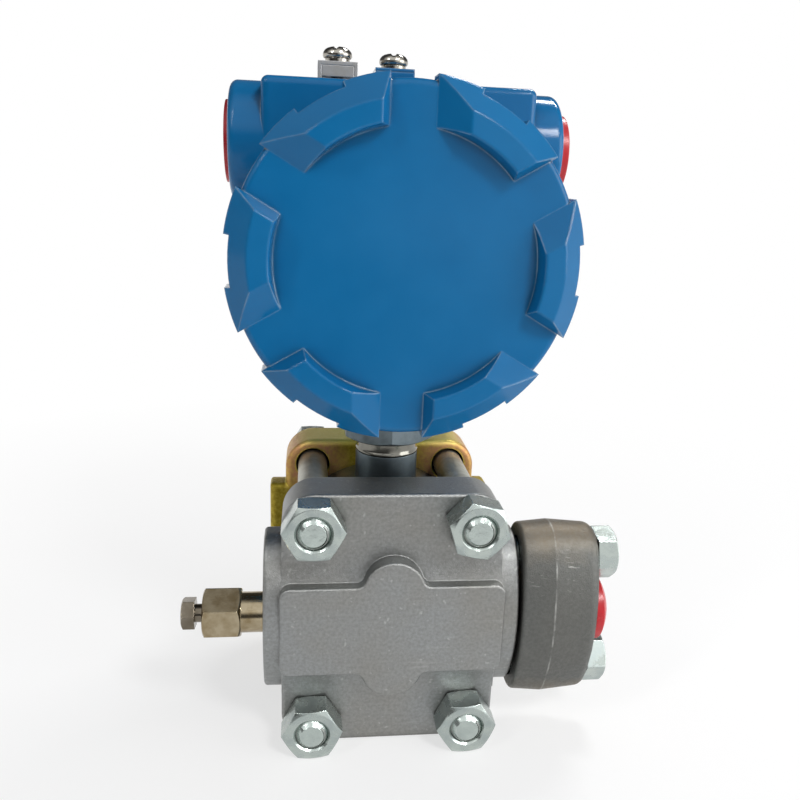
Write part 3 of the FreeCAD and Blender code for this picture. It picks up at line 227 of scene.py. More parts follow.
direction = add(tree, "ShaderNodeTexCoord")
split = add(tree, "ShaderNodeSeparateXYZ")
tree.links.new(direction.outputs["Generated"], split.inputs["Vector"])
to_right = maths(tree, "MULTIPLY_ADD", split.outputs["X"], 0.5, 0.5)
eye_level = ramp(tree, to_right, EYE_LEVEL_STOPS)
above_eyes = fade(tree, split.outputs["Z"], 0.2, 0.45)
front_sky = blend(tree, above_eyes, eye_level, grey(OVERHEAD_LEVEL))
back_sky = ramp(tree, split.outputs["Z"], BACK_STOPS)
towards_back = maths(tree, "MULTIPLY_ADD", split.outputs["Y"], 0.5, 0.5)
back_share = fade(tree, towards_back, 0.35, 0.6)
sky = blend(tree, back_share, front_sky, back_sky)
sky = blend(tree, add(tree, "ShaderNodeLightPath").outputs["Is Camera Ray"], sky, grey(1.0))
even = add(tree, "ShaderNodeBackground", Strength=1.0)
front_fill = fade(tree, to_right, 0.0, 0.6, FILL_LEFT, FILL_RIGHT)
fill = blend(tree, fade(tree, towards_back, 0.5, 0.8), front_fill, grey(FILL_BEHIND))
tree.links.new(fill, even.inputs["Color"])
shown = add(tree, "ShaderNodeBackground", Strength=1.0)
tree.links.new(sky, shown.inputs["Color"])
either = add(tree, "ShaderNodeMixShader")
tree.links.new(seen_rays(tree), either.inputs["Fac"])
tree.links.new(even.outputs["Background"], either.inputs[1])
tree.links.new(shown.outputs["Background"], either.inputs[2])
output = add(tree, "ShaderNodeOutputWorld")
tree.links.new(either.outputs["Shader"], output.inputs["Surface"])
print("world lit, fill", FILL_LEFT, "at the left,", FILL_RIGHT, "at the right,", FILL_BEHIND, "behind")

# %% [markdown]
# Four lamps light the part. A wide soft panel stands at the right, because the photograph's right-hand
# sides are the paler ones. The key lamp high in front and two narrow tubes, overhead and at the left, are
# small for their power on purpose: a small bright lamp draws a thin bright line along each rounded edge of
# the gloss paint, where a large one would only spread a pale veil.

# %% Hang the lamps


def soft_box(name, place, target, size, power):
    """Adds a soft lamp that faces a target."""
    data = bpy.data.lights.new(name, "AREA")
    data.shape = "RECTANGLE"
    data.size, data.size_y = size
    data.energy = power
    lamp = bpy.data.objects.new(name, data)
    bpy.context.scene.collection.objects.link(lamp)
    aim = (Vector(target) - Vector(place)).to_track_quat("-Z", "Y")
    lamp.matrix_world = Matrix.LocRotScale(Vector(place), aim, None)
    print(name, power, "W, size", size)


object_middle = (cad_low + cad_high) / 2
LAMPS = (  # name, place, width and height, power in watts
    ("front_key", (0.54, -0.92, 1.10), (0.30, 0.30), 8.0),
    ("right_panel", (1.1, -0.5, 0.4), (0.8, 0.8), 6.5),
    ("ceiling_tube", (0.40, 0.45, 1.0), (0.30, 0.10), 4.0),
    ("left_tube", (-0.75, -0.6, 0.9), (0.08, 0.5), 2.5),
)
for name, place, size, power in LAMPS:
    soft_box(name, place, object_middle, size, power)

# %% [markdown]
# The floor is a large pale disc. Close to the part it takes light and shadow as paper does. Farther away it
# glows more and more for what looks at it, so that it meets the white surroundings without a line while the
# shadow stays. Out in front, where the photographer stood, it is dim to the left for what mirrors it, which
# keeps that side of the cover deep blue.

# %% Lay the floor
FLOOR_RADIUS = 6.0
FLOOR_SEGMENTS = 96
GLOW_NEAR = 0.62
GLOW_FULL_AT = 0.42
GLOW_FRONT_LEFT, GLOW_FRONT_RIGHT = 0.15, 0.9

floor_mesh = bmesh.new()
bmesh.ops.create_circle(floor_mesh, cap_ends=True, radius=FLOOR_RADIUS, segments=FLOOR_SEGMENTS)
floor_data = bpy.data.meshes.new("floor")
floor_mesh.to_mesh(floor_data)
floor_mesh.free()
floor = bpy.data.objects.new("floor", floor_data)
bpy.context.scene.collection.objects.link(floor)

floor_finish = bpy.data.materials.new("pale_floor")
floor_finish.use_nodes = True
tree = floor_finish.node_tree
tree.nodes.clear()
paper = add(tree, "ShaderNodeBsdfDiffuse", Color=(*grey(0.9), 1.0))
glow = add(tree, "ShaderNodeEmission", Strength=1.0)
spot, spot_parts = object_place(tree)
out_in_front = maths(tree, "MULTIPLY", spot_parts["Y"], -1.0)
front_glow = fade(tree, spot_parts["X"], 0.0, 0.5, GLOW_FRONT_LEFT, GLOW_FRONT_RIGHT)
mirrored = blend(tree, fade(tree, out_in_front, 0.30, 0.60), grey(1.0), front_glow)
by_camera = add(tree, "ShaderNodeLightPath").outputs["Is Camera Ray"]
tree.links.new(blend(tree, by_camera, mirrored, grey(1.0)), glow.inputs["Color"])
reach = add(tree, "ShaderNodeVectorMath")
reach.operation = "LENGTH"
tree.links.new(spot, reach.inputs[0])
far_share = maths(tree, "DIVIDE", reach.outputs["Value"], GLOW_FULL_AT)
glow_share = fade(tree, far_share, 0.2, 1.0, GLOW_NEAR, 1.0)
mixed = add(tree, "ShaderNodeMixShader")
tree.links.new(maths(tree, "MULTIPLY", glow_share, seen_rays(tree)), mixed.inputs["Fac"])
tree.links.new(paper.outputs["BSDF"], mixed.inputs[1])
tree.links.new(glow.outputs["Emission"], mixed.inputs[2])
output = add(tree, "ShaderNodeOutputMaterial")
tree.links.new(mixed.outputs["Shader"], output.inputs["Surface"])
floor_data.materials.append(floor_finish)
print("floor radius", FLOOR_RADIUS, "m, full glow from", GLOW_FULL_AT, "m")

# %% [markdown]
# ## Shared effects
#
# Several finishes need the same small things: the grain that sand leaves on a casting, edges that catch the
# light, scuffs, and the slow drift of tone over a surface. Each is built once as a node group, with sockets
# for its scale, and placed in the finishes that need it. The shaders themselves stay in the materials.

# %% Start an effect


def new_effect(name, inputs, outputs):
    """Starts a node group with named sockets, and returns it with its two ends."""
    effect = bpy.data.node_groups.new(name, "ShaderNodeTree")
    for label, value in inputs.items():
        socket = effect.interface.new_socket(label, in_out="INPUT", socket_type="NodeSocketFloat")
        socket.default_value = value
    for label, kind in outputs.items():
        effect.interface.new_socket(label, in_out="OUTPUT", socket_type=kind)
    return effect, add(effect, "NodeGroupInput"), add(effect, "NodeGroupOutput")


def use_effect(tree, effect, **sockets):
    """Places a node group in a material with its own values."""
    node = tree.nodes.new("ShaderNodeGroup")
    node.node_tree = effect
    for name, value in sockets.items():
        node.inputs[name.replace("_", " ")].default_value = value
    return node.outputs


def cloud(tree, scale, detail=3.0, place=None, rough=0.55):
    """Adds soft noise over the surface, from the object's own coordinates."""
    node = add(tree, "ShaderNodeTexNoise", Detail=detail, Roughness=rough)
    if place is None:
        place = add(tree, "ShaderNodeTexCoord").outputs["Object"]
    tree.links.new(place, node.inputs["Vector"])
    if isinstance(scale, bpy.types.NodeSocket):
        tree.links.new(scale, node.inputs["Scale"])
    else:
        node.inputs["Scale"].default_value = scale
    return node.outputs["Fac"]


print("helpers for effects: new_effect, use_effect, cloud")

# %% [markdown]
# A sand casting is never quite even. Fine grain gives it a dull sparkle, and over a few centimetres its
# tone drifts. Two sizes of noise do that. The fine one also drives the bump.

# %% Casting grain
DRIFT_SCALE = 32.0

cast_grain, grain_in, grain_out = new_effect(
    "cast_grain", {"Scale": 1800.0},
    {"Height": "NodeSocketFloat", "Speckle": "NodeSocketFloat", "Drift": "NodeSocketFloat"})
fine = cloud(cast_grain, grain_in.outputs["Scale"], 4.0, rough=0.7)
coarse = cloud(cast_grain, maths(cast_grain, "MULTIPLY", grain_in.outputs["Scale"], 0.45), 2.0)
drift = cloud(cast_grain, DRIFT_SCALE)
cast_grain.links.new(fine, grain_out.inputs["Height"])
cast_grain.links.new(fade(cast_grain, coarse, 0.35, 0.68), grain_out.inputs["Speckle"])
cast_grain.links.new(fade(cast_grain, drift, 0.36, 0.64), grain_out.inputs["Drift"])
print("group", cast_grain.name, len(cast_grain.nodes), "nodes")

# %% [markdown]
# No real edge is perfectly sharp: paint creeps back from it, and handling polishes it. The Bevel node finds
# surfaces that meet within a small radius. Its rounded normal goes to the shader, and where it differs from
# the true normal there is an edge, which gives a mask for wear and, on the blue paint, for a painted
# highlight.

# %% Edge catch
EFFECT_SAMPLES = 6

edge_catch, edge_in, edge_out = new_effect(
    "edge_catch", {"Radius": 0.0005}, {"Mask": "NodeSocketFloat", "Normal": "NodeSocketVector"})
rounded = add(edge_catch, "ShaderNodeBevel")
rounded.samples = EFFECT_SAMPLES
edge_catch.links.new(edge_in.outputs["Radius"], rounded.inputs["Radius"])
alike = add(edge_catch, "ShaderNodeVectorMath")
alike.operation = "DOT_PRODUCT"
edge_catch.links.new(rounded.outputs["Normal"], alike.inputs[0])
edge_catch.links.new(add(edge_catch, "ShaderNodeNewGeometry").outputs["Normal"], alike.inputs[1])
apart = maths(edge_catch, "SUBTRACT", 1.0, alike.outputs["Value"])
edge_catch.links.new(fade(edge_catch, apart, 0.02, 0.18), edge_out.inputs["Mask"])
edge_catch.links.new(rounded.outputs["Normal"], edge_out.inputs["Normal"])
print("group", edge_catch.name, len(edge_catch.nodes), "nodes")

# %% [markdown]
# Scuffs come from tools and from lying among other parts: short thin lines in one main direction, in
# patches. Noise that is stretched a long way in one direction and cut off high leaves just such lines.

# %% Scuffs
scuffs, scuff_in, scuff_out = new_effect("scuffs", {"Scale": 60.0}, {"Mask": "NodeSocketFloat"})
lie = add(scuffs, "ShaderNodeMapping", Rotation=(0.5, 0.3, 0.9), Scale=(1.0, 22.0, 9.0))
scuffs.links.new(add(scuffs, "ShaderNodeTexCoord").outputs["Object"], lie.inputs["Vector"])
lines = cloud(scuffs, scuff_in.outputs["Scale"], 2.0, lie.outputs["Vector"])
where = cloud(scuffs, maths(scuffs, "MULTIPLY", scuff_in.outputs["Scale"], 0.9), 2.0)
thin = fade(scuffs, lines, 0.63, 0.68)
patchy = fade(scuffs, where, 0.5, 0.62)
scuffs.links.new(maths(scuffs, "MULTIPLY", thin, patchy), scuff_out.inputs["Mask"])
print("group", scuffs.name, len(scuffs.nodes), "nodes")

# %% [markdown]
# Inner corners are darkened with painted shade, as if less light reached them. The Ambient
# Occlusion node tells how much of the sky a point sees within a short distance, so its dark end is a mask
# for such corners.

# %% Painted shade in corners
corner_shade, shade_in, shade_out = new_effect(
    "corner_shade", {"Distance": 0.004}, {"Mask": "NodeSocketFloat"})
open_sky = add(corner_shade, "ShaderNodeAmbientOcclusion")
open_sky.samples = EFFECT_SAMPLES
corner_shade.links.new(shade_in.outputs["Distance"], open_sky.inputs["Distance"])
closed_in = fade(corner_shade, open_sky.outputs["AO"], 0.25, 0.8, 1.0, 0.0)
corner_shade.links.new(closed_in, shade_out.inputs["Mask"])
print("group", corner_shade.name, len(corner_shade.nodes), "nodes")

# %% [markdown]
# ## Finishes
#
# Each finish starts from the same few lines: a material, its tree, and its shader. The helper below also
# puts a bump on top of the rounded normal, because almost every surface here wants both.

# %% Start a finish


def new_finish(name):
    """Starts a material and returns it with its tree and shader."""
    finish = bpy.data.materials.new(name)
    finish.use_nodes = True
    tree = finish.node_tree
    return finish, tree, tree.nodes["Principled BSDF"]


def rough_over(tree, shader, height, depth, strength, normal):
    """Feeds the shader's normal: a bump of a depth in metres over a rounded normal."""
    bump = add(tree, "ShaderNodeBump", Strength=strength, Distance=depth)
    tree.links.new(height, bump.inputs["Height"])
    tree.links.new(normal, bump.inputs["Normal"])
    tree.links.new(bump.outputs["Normal"], shader.inputs["Normal"])


def level(tree, shader, name, source, low, high):
    """Feeds one of the shader's numbers from a mask, between two levels."""
    tree.links.new(fade(tree, source, 0.0, 1.0, low, high), shader.inputs[name])


def tint(tree, body, mask, share, colour):
    """Lays a colour over a body colour, by a share of a mask."""
    return blend(tree, maths(tree, "MULTIPLY", mask, share), body, colour)


def most_of(tree, *shares):
    """Returns the strongest of several masks, each weakened to its share."""
    weakened = [maths(tree, "MULTIPLY", mask, share) for mask, share in shares]
    strongest = weakened[0]
    for mask in weakened[1:]:
        strongest = maths(tree, "MAXIMUM", strongest, mask)
    return strongest


def wear(finish, *names):
    """Puts a finish on the construction's nodes."""
    for name in names:
        for slot in nodes[name].material_slots:
            slot.material = finish
    print(finish.name, "on", ", ".join(names))


print("helpers for finishes: new_finish, rough_over, level, tint, most_of, wear")

# %% [markdown]
# The housing and its covers are aluminium castings under a thick blue gloss paint. Paint like this has a
# faint orange peel, fills the casting's pores, and lies thinner on edges, which look paler; that pale edge
# colour, broken up in patches, is also a painted highlight along the edges. A clear coat all over would
# mirror the pale floor and wash the blue out, so the coat goes on the edges alone, where it draws the
# bright lines.

# %% Blue paint
blue_paint, tree, shader = new_finish("blue_gloss_paint")
grain = use_effect(tree, cast_grain, Scale=900.0)
edge = use_effect(tree, edge_catch, Radius=0.0010)
painted_shade = use_effect(tree, corner_shade, Distance=0.005)
deep_blue, fair_blue = (0.003, 0.122, 0.305), (0.006, 0.136, 0.330)
shade_blue, edge_and_highlight_blue = (0.005, 0.024, 0.045), (0.34, 0.54, 0.70)
body = blend(tree, grain["Drift"], deep_blue, fair_blue)
# painted shade: the paint darkens towards shade_blue in inner corners
body = tint(tree, body, painted_shade["Mask"], 1.15, shade_blue)
# painted highlight: paler edges, broken in patches, stand partly for thin paint and partly for light caught
# on the edges
wear_and_glint_patches = fade(tree, cloud(tree, 75.0), 0.38, 0.62, 0.05, 0.55)
thin_paint_and_highlight = maths(tree, "MULTIPLY", edge["Mask"], wear_and_glint_patches)
tree.links.new(blend(tree, thin_paint_and_highlight, body, edge_and_highlight_blue), shader.inputs["Base Color"])
level(tree, shader, "Roughness", grain["Drift"], 0.11, 0.16)
level(tree, shader, "Coat Weight", edge["Mask"], 0.0, 1.0)
shader.inputs["Coat Roughness"].default_value = 0.06
shader.inputs["Coat IOR"].default_value = 1.8
shader.inputs["Specular IOR Level"].default_value = 0.26
rough_over(tree, shader, grain["Height"], 0.00006, 0.25, edge["Normal"])
wear(blue_paint, "electronics_housing", "front_cover", "rear_cover", "tag_plate")

# %% [markdown]
# The front flange is cast stainless steel, blasted with shot until it is an even dull grey. Up close it has
# fine pale pits, faint lines along the barrel from the grinding belt and brighter edges, and its inner
# corners get a painted grey shade.

# %% Cast stainless
cast_stainless, tree, shader = new_finish("cast_stainless")
grain = use_effect(tree, cast_grain, Scale=2100.0)
edge = use_effect(tree, edge_catch, Radius=0.0006)
scuff = use_effect(tree, scuffs, Scale=55.0)
painted_shade = use_effect(tree, corner_shade, Distance=0.004)
along_barrel = add(tree, "ShaderNodeMapping", Scale=(0.04, 1.0, 1.0))
tree.links.new(add(tree, "ShaderNodeTexCoord").outputs["Object"], along_barrel.inputs["Vector"])
belt_lines = fade(tree, cloud(tree, 1500.0, 2.0, along_barrel.outputs["Vector"]), 0.3, 0.7)
pits = fade(tree, cloud(tree, 520.0, 1.0), 0.70, 0.76)
warm_grey, cool_grey, bright_grey = (0.292, 0.290, 0.272), (0.310, 0.322, 0.322), (0.56, 0.56, 0.55)
body = blend(tree, grain["Drift"], warm_grey, cool_grey)
body = tint(tree, body, belt_lines, 0.12, (0.42, 0.42, 0.41))
body = tint(tree, body, grain["Speckle"], 0.50, (0.18, 0.18, 0.175))
# painted shade: inner corners darken towards a deep grey
body = tint(tree, body, painted_shade["Mask"], 0.7, (0.075, 0.072, 0.066))
rubbed = most_of(tree, (edge["Mask"], 0.4), (scuff["Mask"], 0.15), (pits, 0.35))
tree.links.new(blend(tree, rubbed, body, bright_grey), shader.inputs["Base Color"])
shader.inputs["Metallic"].default_value = 0.92
level(tree, shader, "Roughness", grain["Speckle"], 0.46, 0.36)
rough_over(tree, shader, grain["Height"], 0.0003, 0.45, edge["Normal"])
wear(cast_stainless, "front_flange")

# %% [markdown]
# The rear flange is plated with zinc and dipped in chromate, which leaves a thin yellow film. The film's
# colour tells its thickness: olive on the broad faces, pale along the top, bright yellow on the edges, and
# rust-orange round the bolt holes, where the bath drained slowly. The distance to the nearest bolt axis, in
# X and Z, gives those rings.

# %% Yellow zinc
BOLT_ACROSS = 26.6 * MM
BOLT_UP = 37.0 * MM
RING_REACH = 20.0 * MM
RING_WANDER = 6.0 * MM
PALE_FROM = 89.5 * MM
PALE_FADE = 10.0 * MM


def far_from(tree, value, middle_value):
    """Returns how far a coordinate lies from a middle, to either side."""
    return maths(tree, "ABSOLUTE", maths(tree, "SUBTRACT", value, middle_value))


yellow_zinc, tree, shader = new_finish("yellow_zinc")
grain = use_effect(tree, cast_grain, Scale=1500.0)
edge = use_effect(tree, edge_catch, Radius=0.0014)
painted_shade = use_effect(tree, corner_shade, Distance=0.004)
_, place = object_place(tree)
off_across = maths(tree, "SUBTRACT", far_from(tree, place["X"], neck_axis.x), BOLT_ACROSS)
off_up = maths(tree, "SUBTRACT", far_from(tree, place["Z"], barrel_axis.z), BOLT_UP)
squares = maths(tree, "ADD", maths(tree, "POWER", off_across, 2.0), maths(tree, "POWER", off_up, 2.0))
from_hole = maths(tree, "MULTIPLY_ADD", cloud(tree, 160.0), RING_WANDER, maths(tree, "SQRT", squares))
gold, olive, rust = (0.42, 0.30, 0.014), (0.21, 0.155, 0.004), (0.70, 0.31, 0.19)
pale, straw, shade, lemon = (0.90, 0.80, 0.20), (0.78, 0.62, 0.10), (0.035, 0.022, 0.004), (1.0, 0.84, 0.12)
body = blend(tree, grain["Drift"], gold, olive)
ring = fade(tree, maths(tree, "DIVIDE", from_hole, RING_REACH), 0.45, 0.92, 0.9, 0.0)
body = blend(tree, ring, body, rust)
up_the_band = maths(tree, "DIVIDE", maths(tree, "SUBTRACT", place["Z"], PALE_FROM), PALE_FADE)
body = blend(tree, fade(tree, up_the_band, 0.1, 0.4, 0.0, 0.8), body, pale)
body = tint(tree, body, grain["Speckle"], 0.35, straw)
# painted shade: inner corners darken towards the shade colour
body = tint(tree, body, painted_shade["Mask"], 0.8, shade)
tree.links.new(tint(tree, body, edge["Mask"], 0.85, lemon), shader.inputs["Base Color"])
shader.inputs["Metallic"].default_value = 0.6
level(tree, shader, "Roughness", grain["Speckle"], 0.48, 0.34)
rough_over(tree, shader, grain["Height"], 0.0003, 0.45, edge["Normal"])
wear(yellow_zinc, "rear_flange")

# %% [markdown]
# Nuts and bolt heads are steel with a bright zinc plate: silvery, a little cool, and cloudy here and there.
# The plate on the long shanks between the flanges has gone dull. A bolt is one node, so its finish changes
# along Y instead: dull within the flanges, bright beyond them. Handling leaves such bolts a little uneven,
# so a coarser bump dents them all over.

# %% Bright zinc
FLANGE_FACE_OUT = 35.8 * MM
RUBBED_BRIGHTER = 1.35


def plated(name, bright, cloudy, rough_low, rough_high):
    """Makes a bright plated finish; returns it with its tree, shader and body colour."""
    finish, tree, shader = new_finish(name)
    edge = use_effect(tree, edge_catch, Radius=0.00035)
    scuff = use_effect(tree, scuffs, Scale=90.0)
    bloom = fade(tree, cloud(tree, 190.0, 4.0), 0.38, 0.66)
    body = blend(tree, bloom, bright, cloudy)
    rubbed = most_of(tree, (edge["Mask"], 1.0), (scuff["Mask"], 0.3))
    body = blend(tree, rubbed, body, tuple(min(1.0, part * RUBBED_BRIGHTER) for part in bright))
    shader.inputs["Metallic"].default_value = 1.0
    tree.links.new(body, shader.inputs["Base Color"])
    level(tree, shader, "Roughness", bloom, rough_low, rough_high)
    rough_over(tree, shader, cloud(tree, 2600.0), 0.00008, 0.2, edge["Normal"])
    return finish, tree, shader, body


bright_zinc, *_ = plated("bright_zinc", (0.46, 0.51, 0.48), (0.38, 0.43, 0.42), 0.20, 0.36)
thread_zinc, *_ = plated("thread_zinc", (0.33, 0.35, 0.33), (0.24, 0.26, 0.25), 0.30, 0.45)
wear(bright_zinc, "flange_nuts", "adapter_bolts")
bolt_zinc, tree, shader, body = plated("bolt_zinc", (0.48, 0.54, 0.51), (0.41, 0.46, 0.44), 0.22, 0.36)
_, place = object_place(tree)
inside = maths(tree, "LESS_THAN", far_from(tree, place["Y"], neck_axis.y), FLANGE_FACE_OUT)
dull = blend(tree, cloud(tree, 240.0), (0.34, 0.335, 0.27), (0.66, 0.66, 0.60))
tree.links.new(blend(tree, inside, body, dull), shader.inputs["Base Color"])
level(tree, shader, "Roughness", inside, 0.27, 0.42)
dents = add(tree, "ShaderNodeBump", Strength=0.6, Distance=0.0005)
tree.links.new(cloud(tree, 330.0, 2.0), dents.inputs["Height"])
tree.links.new(shader.inputs["Normal"].links[0].from_socket, dents.inputs["Normal"])
tree.links.new(dents.outputs["Normal"], shader.inputs["Normal"])
wear(bolt_zinc, "flange_bolts")

# %% [markdown]
# The sensor module and the lock nut under the housing are a darker steel with a satin face, and the nipple
# between them is turned bright. The vent valve is polished stainless, and the brown tint of it and its stem
# is a painted reflection of a warm room; the stem, which a spanner grips, has gone darker.

# %% Module steel, nipple and vent valve
module_steel, *_ = plated("module_steel", (0.165, 0.200, 0.220), (0.125, 0.155, 0.170), 0.36, 0.50)
wear(module_steel, "sensor_module", "lock_nut")
turned_steel, *_ = plated("turned_steel", (0.22, 0.215, 0.190), (0.17, 0.165, 0.145), 0.08, 0.16)
wear(turned_steel, "threaded_nipple", "isolating_diaphragm_front", "isolating_diaphragm_rear")
# painted reflection: the brown of the vent and stem colours stands for a warm room mirrored in them
vent_steel_painted_reflection, *_ = plated("vent_steel_painted_reflection", (0.39, 0.330, 0.225), (0.25, 0.190, 0.105), 0.08, 0.20)
wear(vent_steel_painted_reflection, "vent_valve_body")
stem_steel_painted_reflection, *_ = plated("stem_steel_painted_reflection", (0.20, 0.175, 0.140), (0.13, 0.110, 0.080), 0.08, 0.20)
wear(stem_steel_painted_reflection, "vent_stem", "vent_ball")

# %% [markdown]
# The flange adapter is a rough forging: darker than the flange, brownish where the scale is still on at its
# top and bottom, and finely pitted. The two halves of the forging die met near its middle, which left a
# thin pale line all round. In front, a patch of scratches from handling crosses that line.

# %% Forged steel
adapter_low, adapter_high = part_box("flange_adapter")
PARTING_SHARE = 0.40
LINE_WIDTH = 0.4 * MM
LINE_WANDER = 0.8 * MM
SCRATCHES_RIGHT, SCRATCHES_UP, SCRATCHES_REACH = 1.0 * MM, 20.0 * MM, 14.0 * MM
SCALE_REACH, SCALE_WANDER = 40.0 * MM, 14.0 * MM
parting_x = adapter_low.x + (adapter_high.x - adapter_low.x) * PARTING_SHARE
scratch_place = Vector((parting_x + SCRATCHES_RIGHT, adapter_low.y, adapter_axis.z + SCRATCHES_UP))

forged_steel, tree, shader = new_finish("forged_steel")
grain = use_effect(tree, cast_grain, Scale=1900.0)
edge = use_effect(tree, edge_catch, Radius=0.0009)
scuff = use_effect(tree, scuffs, Scale=175.0)
painted_shade = use_effect(tree, corner_shade, Distance=0.004)
whole_place, place = object_place(tree)
scale_brown, bare_grey, pale_grey = (0.225, 0.180, 0.122), (0.113, 0.117, 0.111), (0.40, 0.40, 0.38)
from_axis = far_from(tree, place["Z"], adapter_axis.z)
from_axis = maths(tree, "MULTIPLY_ADD", cloud(tree, 90.0), SCALE_WANDER, from_axis)
browned = fade(tree, maths(tree, "DIVIDE", from_axis, SCALE_REACH), 0.72, 1.0, 0.0, 0.75)
body = blend(tree, browned, bare_grey, scale_brown)
body = tint(tree, body, grain["Drift"], 0.3, (0.150, 0.143, 0.128))
body = tint(tree, body, grain["Speckle"], 0.25, (0.19, 0.19, 0.18))
# painted shade: inner corners darken almost to black
body = tint(tree, body, painted_shade["Mask"], 0.7, (0.03, 0.028, 0.024))
wander = maths(tree, "MULTIPLY_ADD", cloud(tree, 130.0), LINE_WANDER, -LINE_WANDER / 2)
from_line = far_from(tree, maths(tree, "ADD", place["X"], wander), parting_x)
on_line = fade(tree, maths(tree, "DIVIDE", from_line, LINE_WIDTH), 0.25, 1.0, 1.0, 0.0)
broken = fade(tree, cloud(tree, 150.0), 0.42, 0.60, 0.08, 0.85)
gap = add(tree, "ShaderNodeVectorMath")
gap.operation = "DISTANCE"
tree.links.new(whole_place, gap.inputs[0])
gap.inputs[1].default_value = scratch_place
scratched = fade(tree, maths(tree, "DIVIDE", gap.outputs["Value"], SCRATCHES_REACH), 0.35, 1.0, 0.75, 0.10)
marks = most_of(tree, (on_line, broken), (scuff["Mask"], scratched), (edge["Mask"], 0.3))
tree.links.new(blend(tree, marks, body, pale_grey), shader.inputs["Base Color"])
shader.inputs["Metallic"].default_value = 0.7
level(tree, shader, "Roughness", grain["Speckle"], 0.54, 0.42)
rough_over(tree, shader, grain["Height"], 0.0003, 0.4, edge["Normal"])
wear(forged_steel, "flange_adapter")

# %% [markdown]
# The shipping plugs are soft glossy red plastic. Moulded plastic has a slight waviness, and it is a little
# lighter where it is thin.

# %% Red plastic
red_plastic, tree, shader = new_finish("red_plastic")
grain = use_effect(tree, cast_grain, Scale=500.0)
edge = use_effect(tree, edge_catch, Radius=0.0006)
deep_red, fair_red, thin_red = (0.47, 0.009, 0.016), (0.60, 0.014, 0.022), (0.8, 0.10, 0.08)
body = blend(tree, grain["Drift"], deep_red, fair_red)
tree.links.new(tint(tree, body, edge["Mask"], 0.3, thin_red), shader.inputs["Base Color"])
level(tree, shader, "Roughness", grain["Drift"], 0.24, 0.34)
rough_over(tree, shader, grain["Height"], 0.00008, 0.15, edge["Normal"])
wear(red_plastic, "conduit_plug_left", "conduit_plug_right", "process_plug")

# %% [markdown]
# The small screws and washers on top are nickel plated: a warm silver that mirrors the room. The clamp
# under one of them is bent from thin plated strip, and years of weather have left it paler and duller.

# %% Nickel plate
nickel_plate, *_ = plated("nickel_plate", (0.42, 0.405, 0.37), (0.34, 0.315, 0.26), 0.14, 0.28)
wear(nickel_plate, "ground_screw", "tag_screw", "screw_washers", "terminal_screws", "board_standoffs")
clamp_nickel, _, shader, _ = plated("clamp_nickel", (0.46, 0.46, 0.46), (0.34, 0.33, 0.31), 0.30, 0.44)
shader.inputs["Metallic"].default_value = 0.55
wear(clamp_nickel, "ground_clamp", "clamp_plate")

# %% [markdown]
# What the covers hide is finished too, since they unscrew: rubber rings, green boards, a black terminal
# block, and the glass beads round the pins through the partition.

# %% Finishes inside


def moulded(name, first, second, rough_low, rough_high, scale):
    """Makes a plain moulded finish: two close tones, a fine grain and soft edges."""
    finish, tree, shader = new_finish(name)
    grain = use_effect(tree, cast_grain, Scale=scale)
    edge = use_effect(tree, edge_catch, Radius=0.0003)
    tree.links.new(blend(tree, grain["Drift"], first, second), shader.inputs["Base Color"])
    level(tree, shader, "Roughness", grain["Speckle"], rough_low, rough_high)
    rough_over(tree, shader, grain["Height"], 0.0001, 0.25, edge["Normal"])
    return finish


black_rubber = moulded("black_rubber", (0.012, 0.012, 0.012), (0.020, 0.020, 0.021), 0.55, 0.70, 1800.0)
wear(black_rubber, "flange_seal_front", "flange_seal_rear", "adapter_seal")
wear(black_rubber, "front_cover_seal", "rear_cover_seal")
circuit_board = moulded("circuit_board", (0.012, 0.105, 0.045), (0.018, 0.140, 0.060), 0.30, 0.42, 900.0)
wear(circuit_board, "amplifier_board", "calibration_board")
black_plastic = moulded("black_plastic", (0.014, 0.014, 0.015), (0.024, 0.024, 0.025), 0.38, 0.50, 1500.0)
wear(black_plastic, "board_connector", "terminal_block")
glass_seal = moulded("glass_seal", (0.16, 0.20, 0.17), (0.22, 0.26, 0.22), 0.10, 0.18, 400.0)
wear(glass_seal, "feedthroughs")

# %% [markdown]
# ## Small pieces
#
# Some shapes are too fine for the construction: screw threads, the rolled lip of the nipple, the recess in
# a screw head. Most of them are round, and Blender's lathe is the Spin operator, which sweeps a half
# outline round an axis. With a step along the axis it winds a helix instead, and that is a thread.

# %% A lathe, a thread cutter and a finishing bench
ALONG_Y, ALONG_Z = Vector((0, 1, 0)), Vector((0, 0, 1))
SAME_POINT = 0.002 * MM
SHARP_FROM = math.radians(40)
RIDGE_SHARE = 0.38


def turned(mesh, outline, centre, axis, steps):
    """Turns a half outline of (radius, height) points in millimetres about an axis through a centre."""
    side = axis.orthogonal().normalized()
    row = [mesh.verts.new(centre + (side * radius + axis * height) * MM) for radius, height in outline]
    edges = [mesh.edges.new(pair) for pair in zip(row, row[1:])]
    bmesh.ops.spin(mesh, geom=row + edges, axis=axis, cent=centre, angle=math.tau, steps=steps,
                   use_merge=True)


def wound(mesh, start, axis, radius, proud, pitch, turns, steps=72):
    """Winds the ridge of a thread about an axis: a triangle swept along a helix, closed at both ends."""
    side = axis.orthogonal().normalized()
    half = pitch * RIDGE_SHARE
    corners = ((radius - proud, -half), (radius + proud, 0.0), (radius - proud, half))
    row = [mesh.verts.new(start + side * out + axis * along) for out, along in corners]
    face = mesh.faces.new(row)
    bmesh.ops.spin(mesh, geom=[face, *face.edges, *row], axis=axis, cent=start, dvec=axis * (pitch / steps),
                   angle=math.tau * turns, steps=round(steps * turns))
    bmesh.ops.holes_fill(mesh, edges=mesh.edges, sides=3)


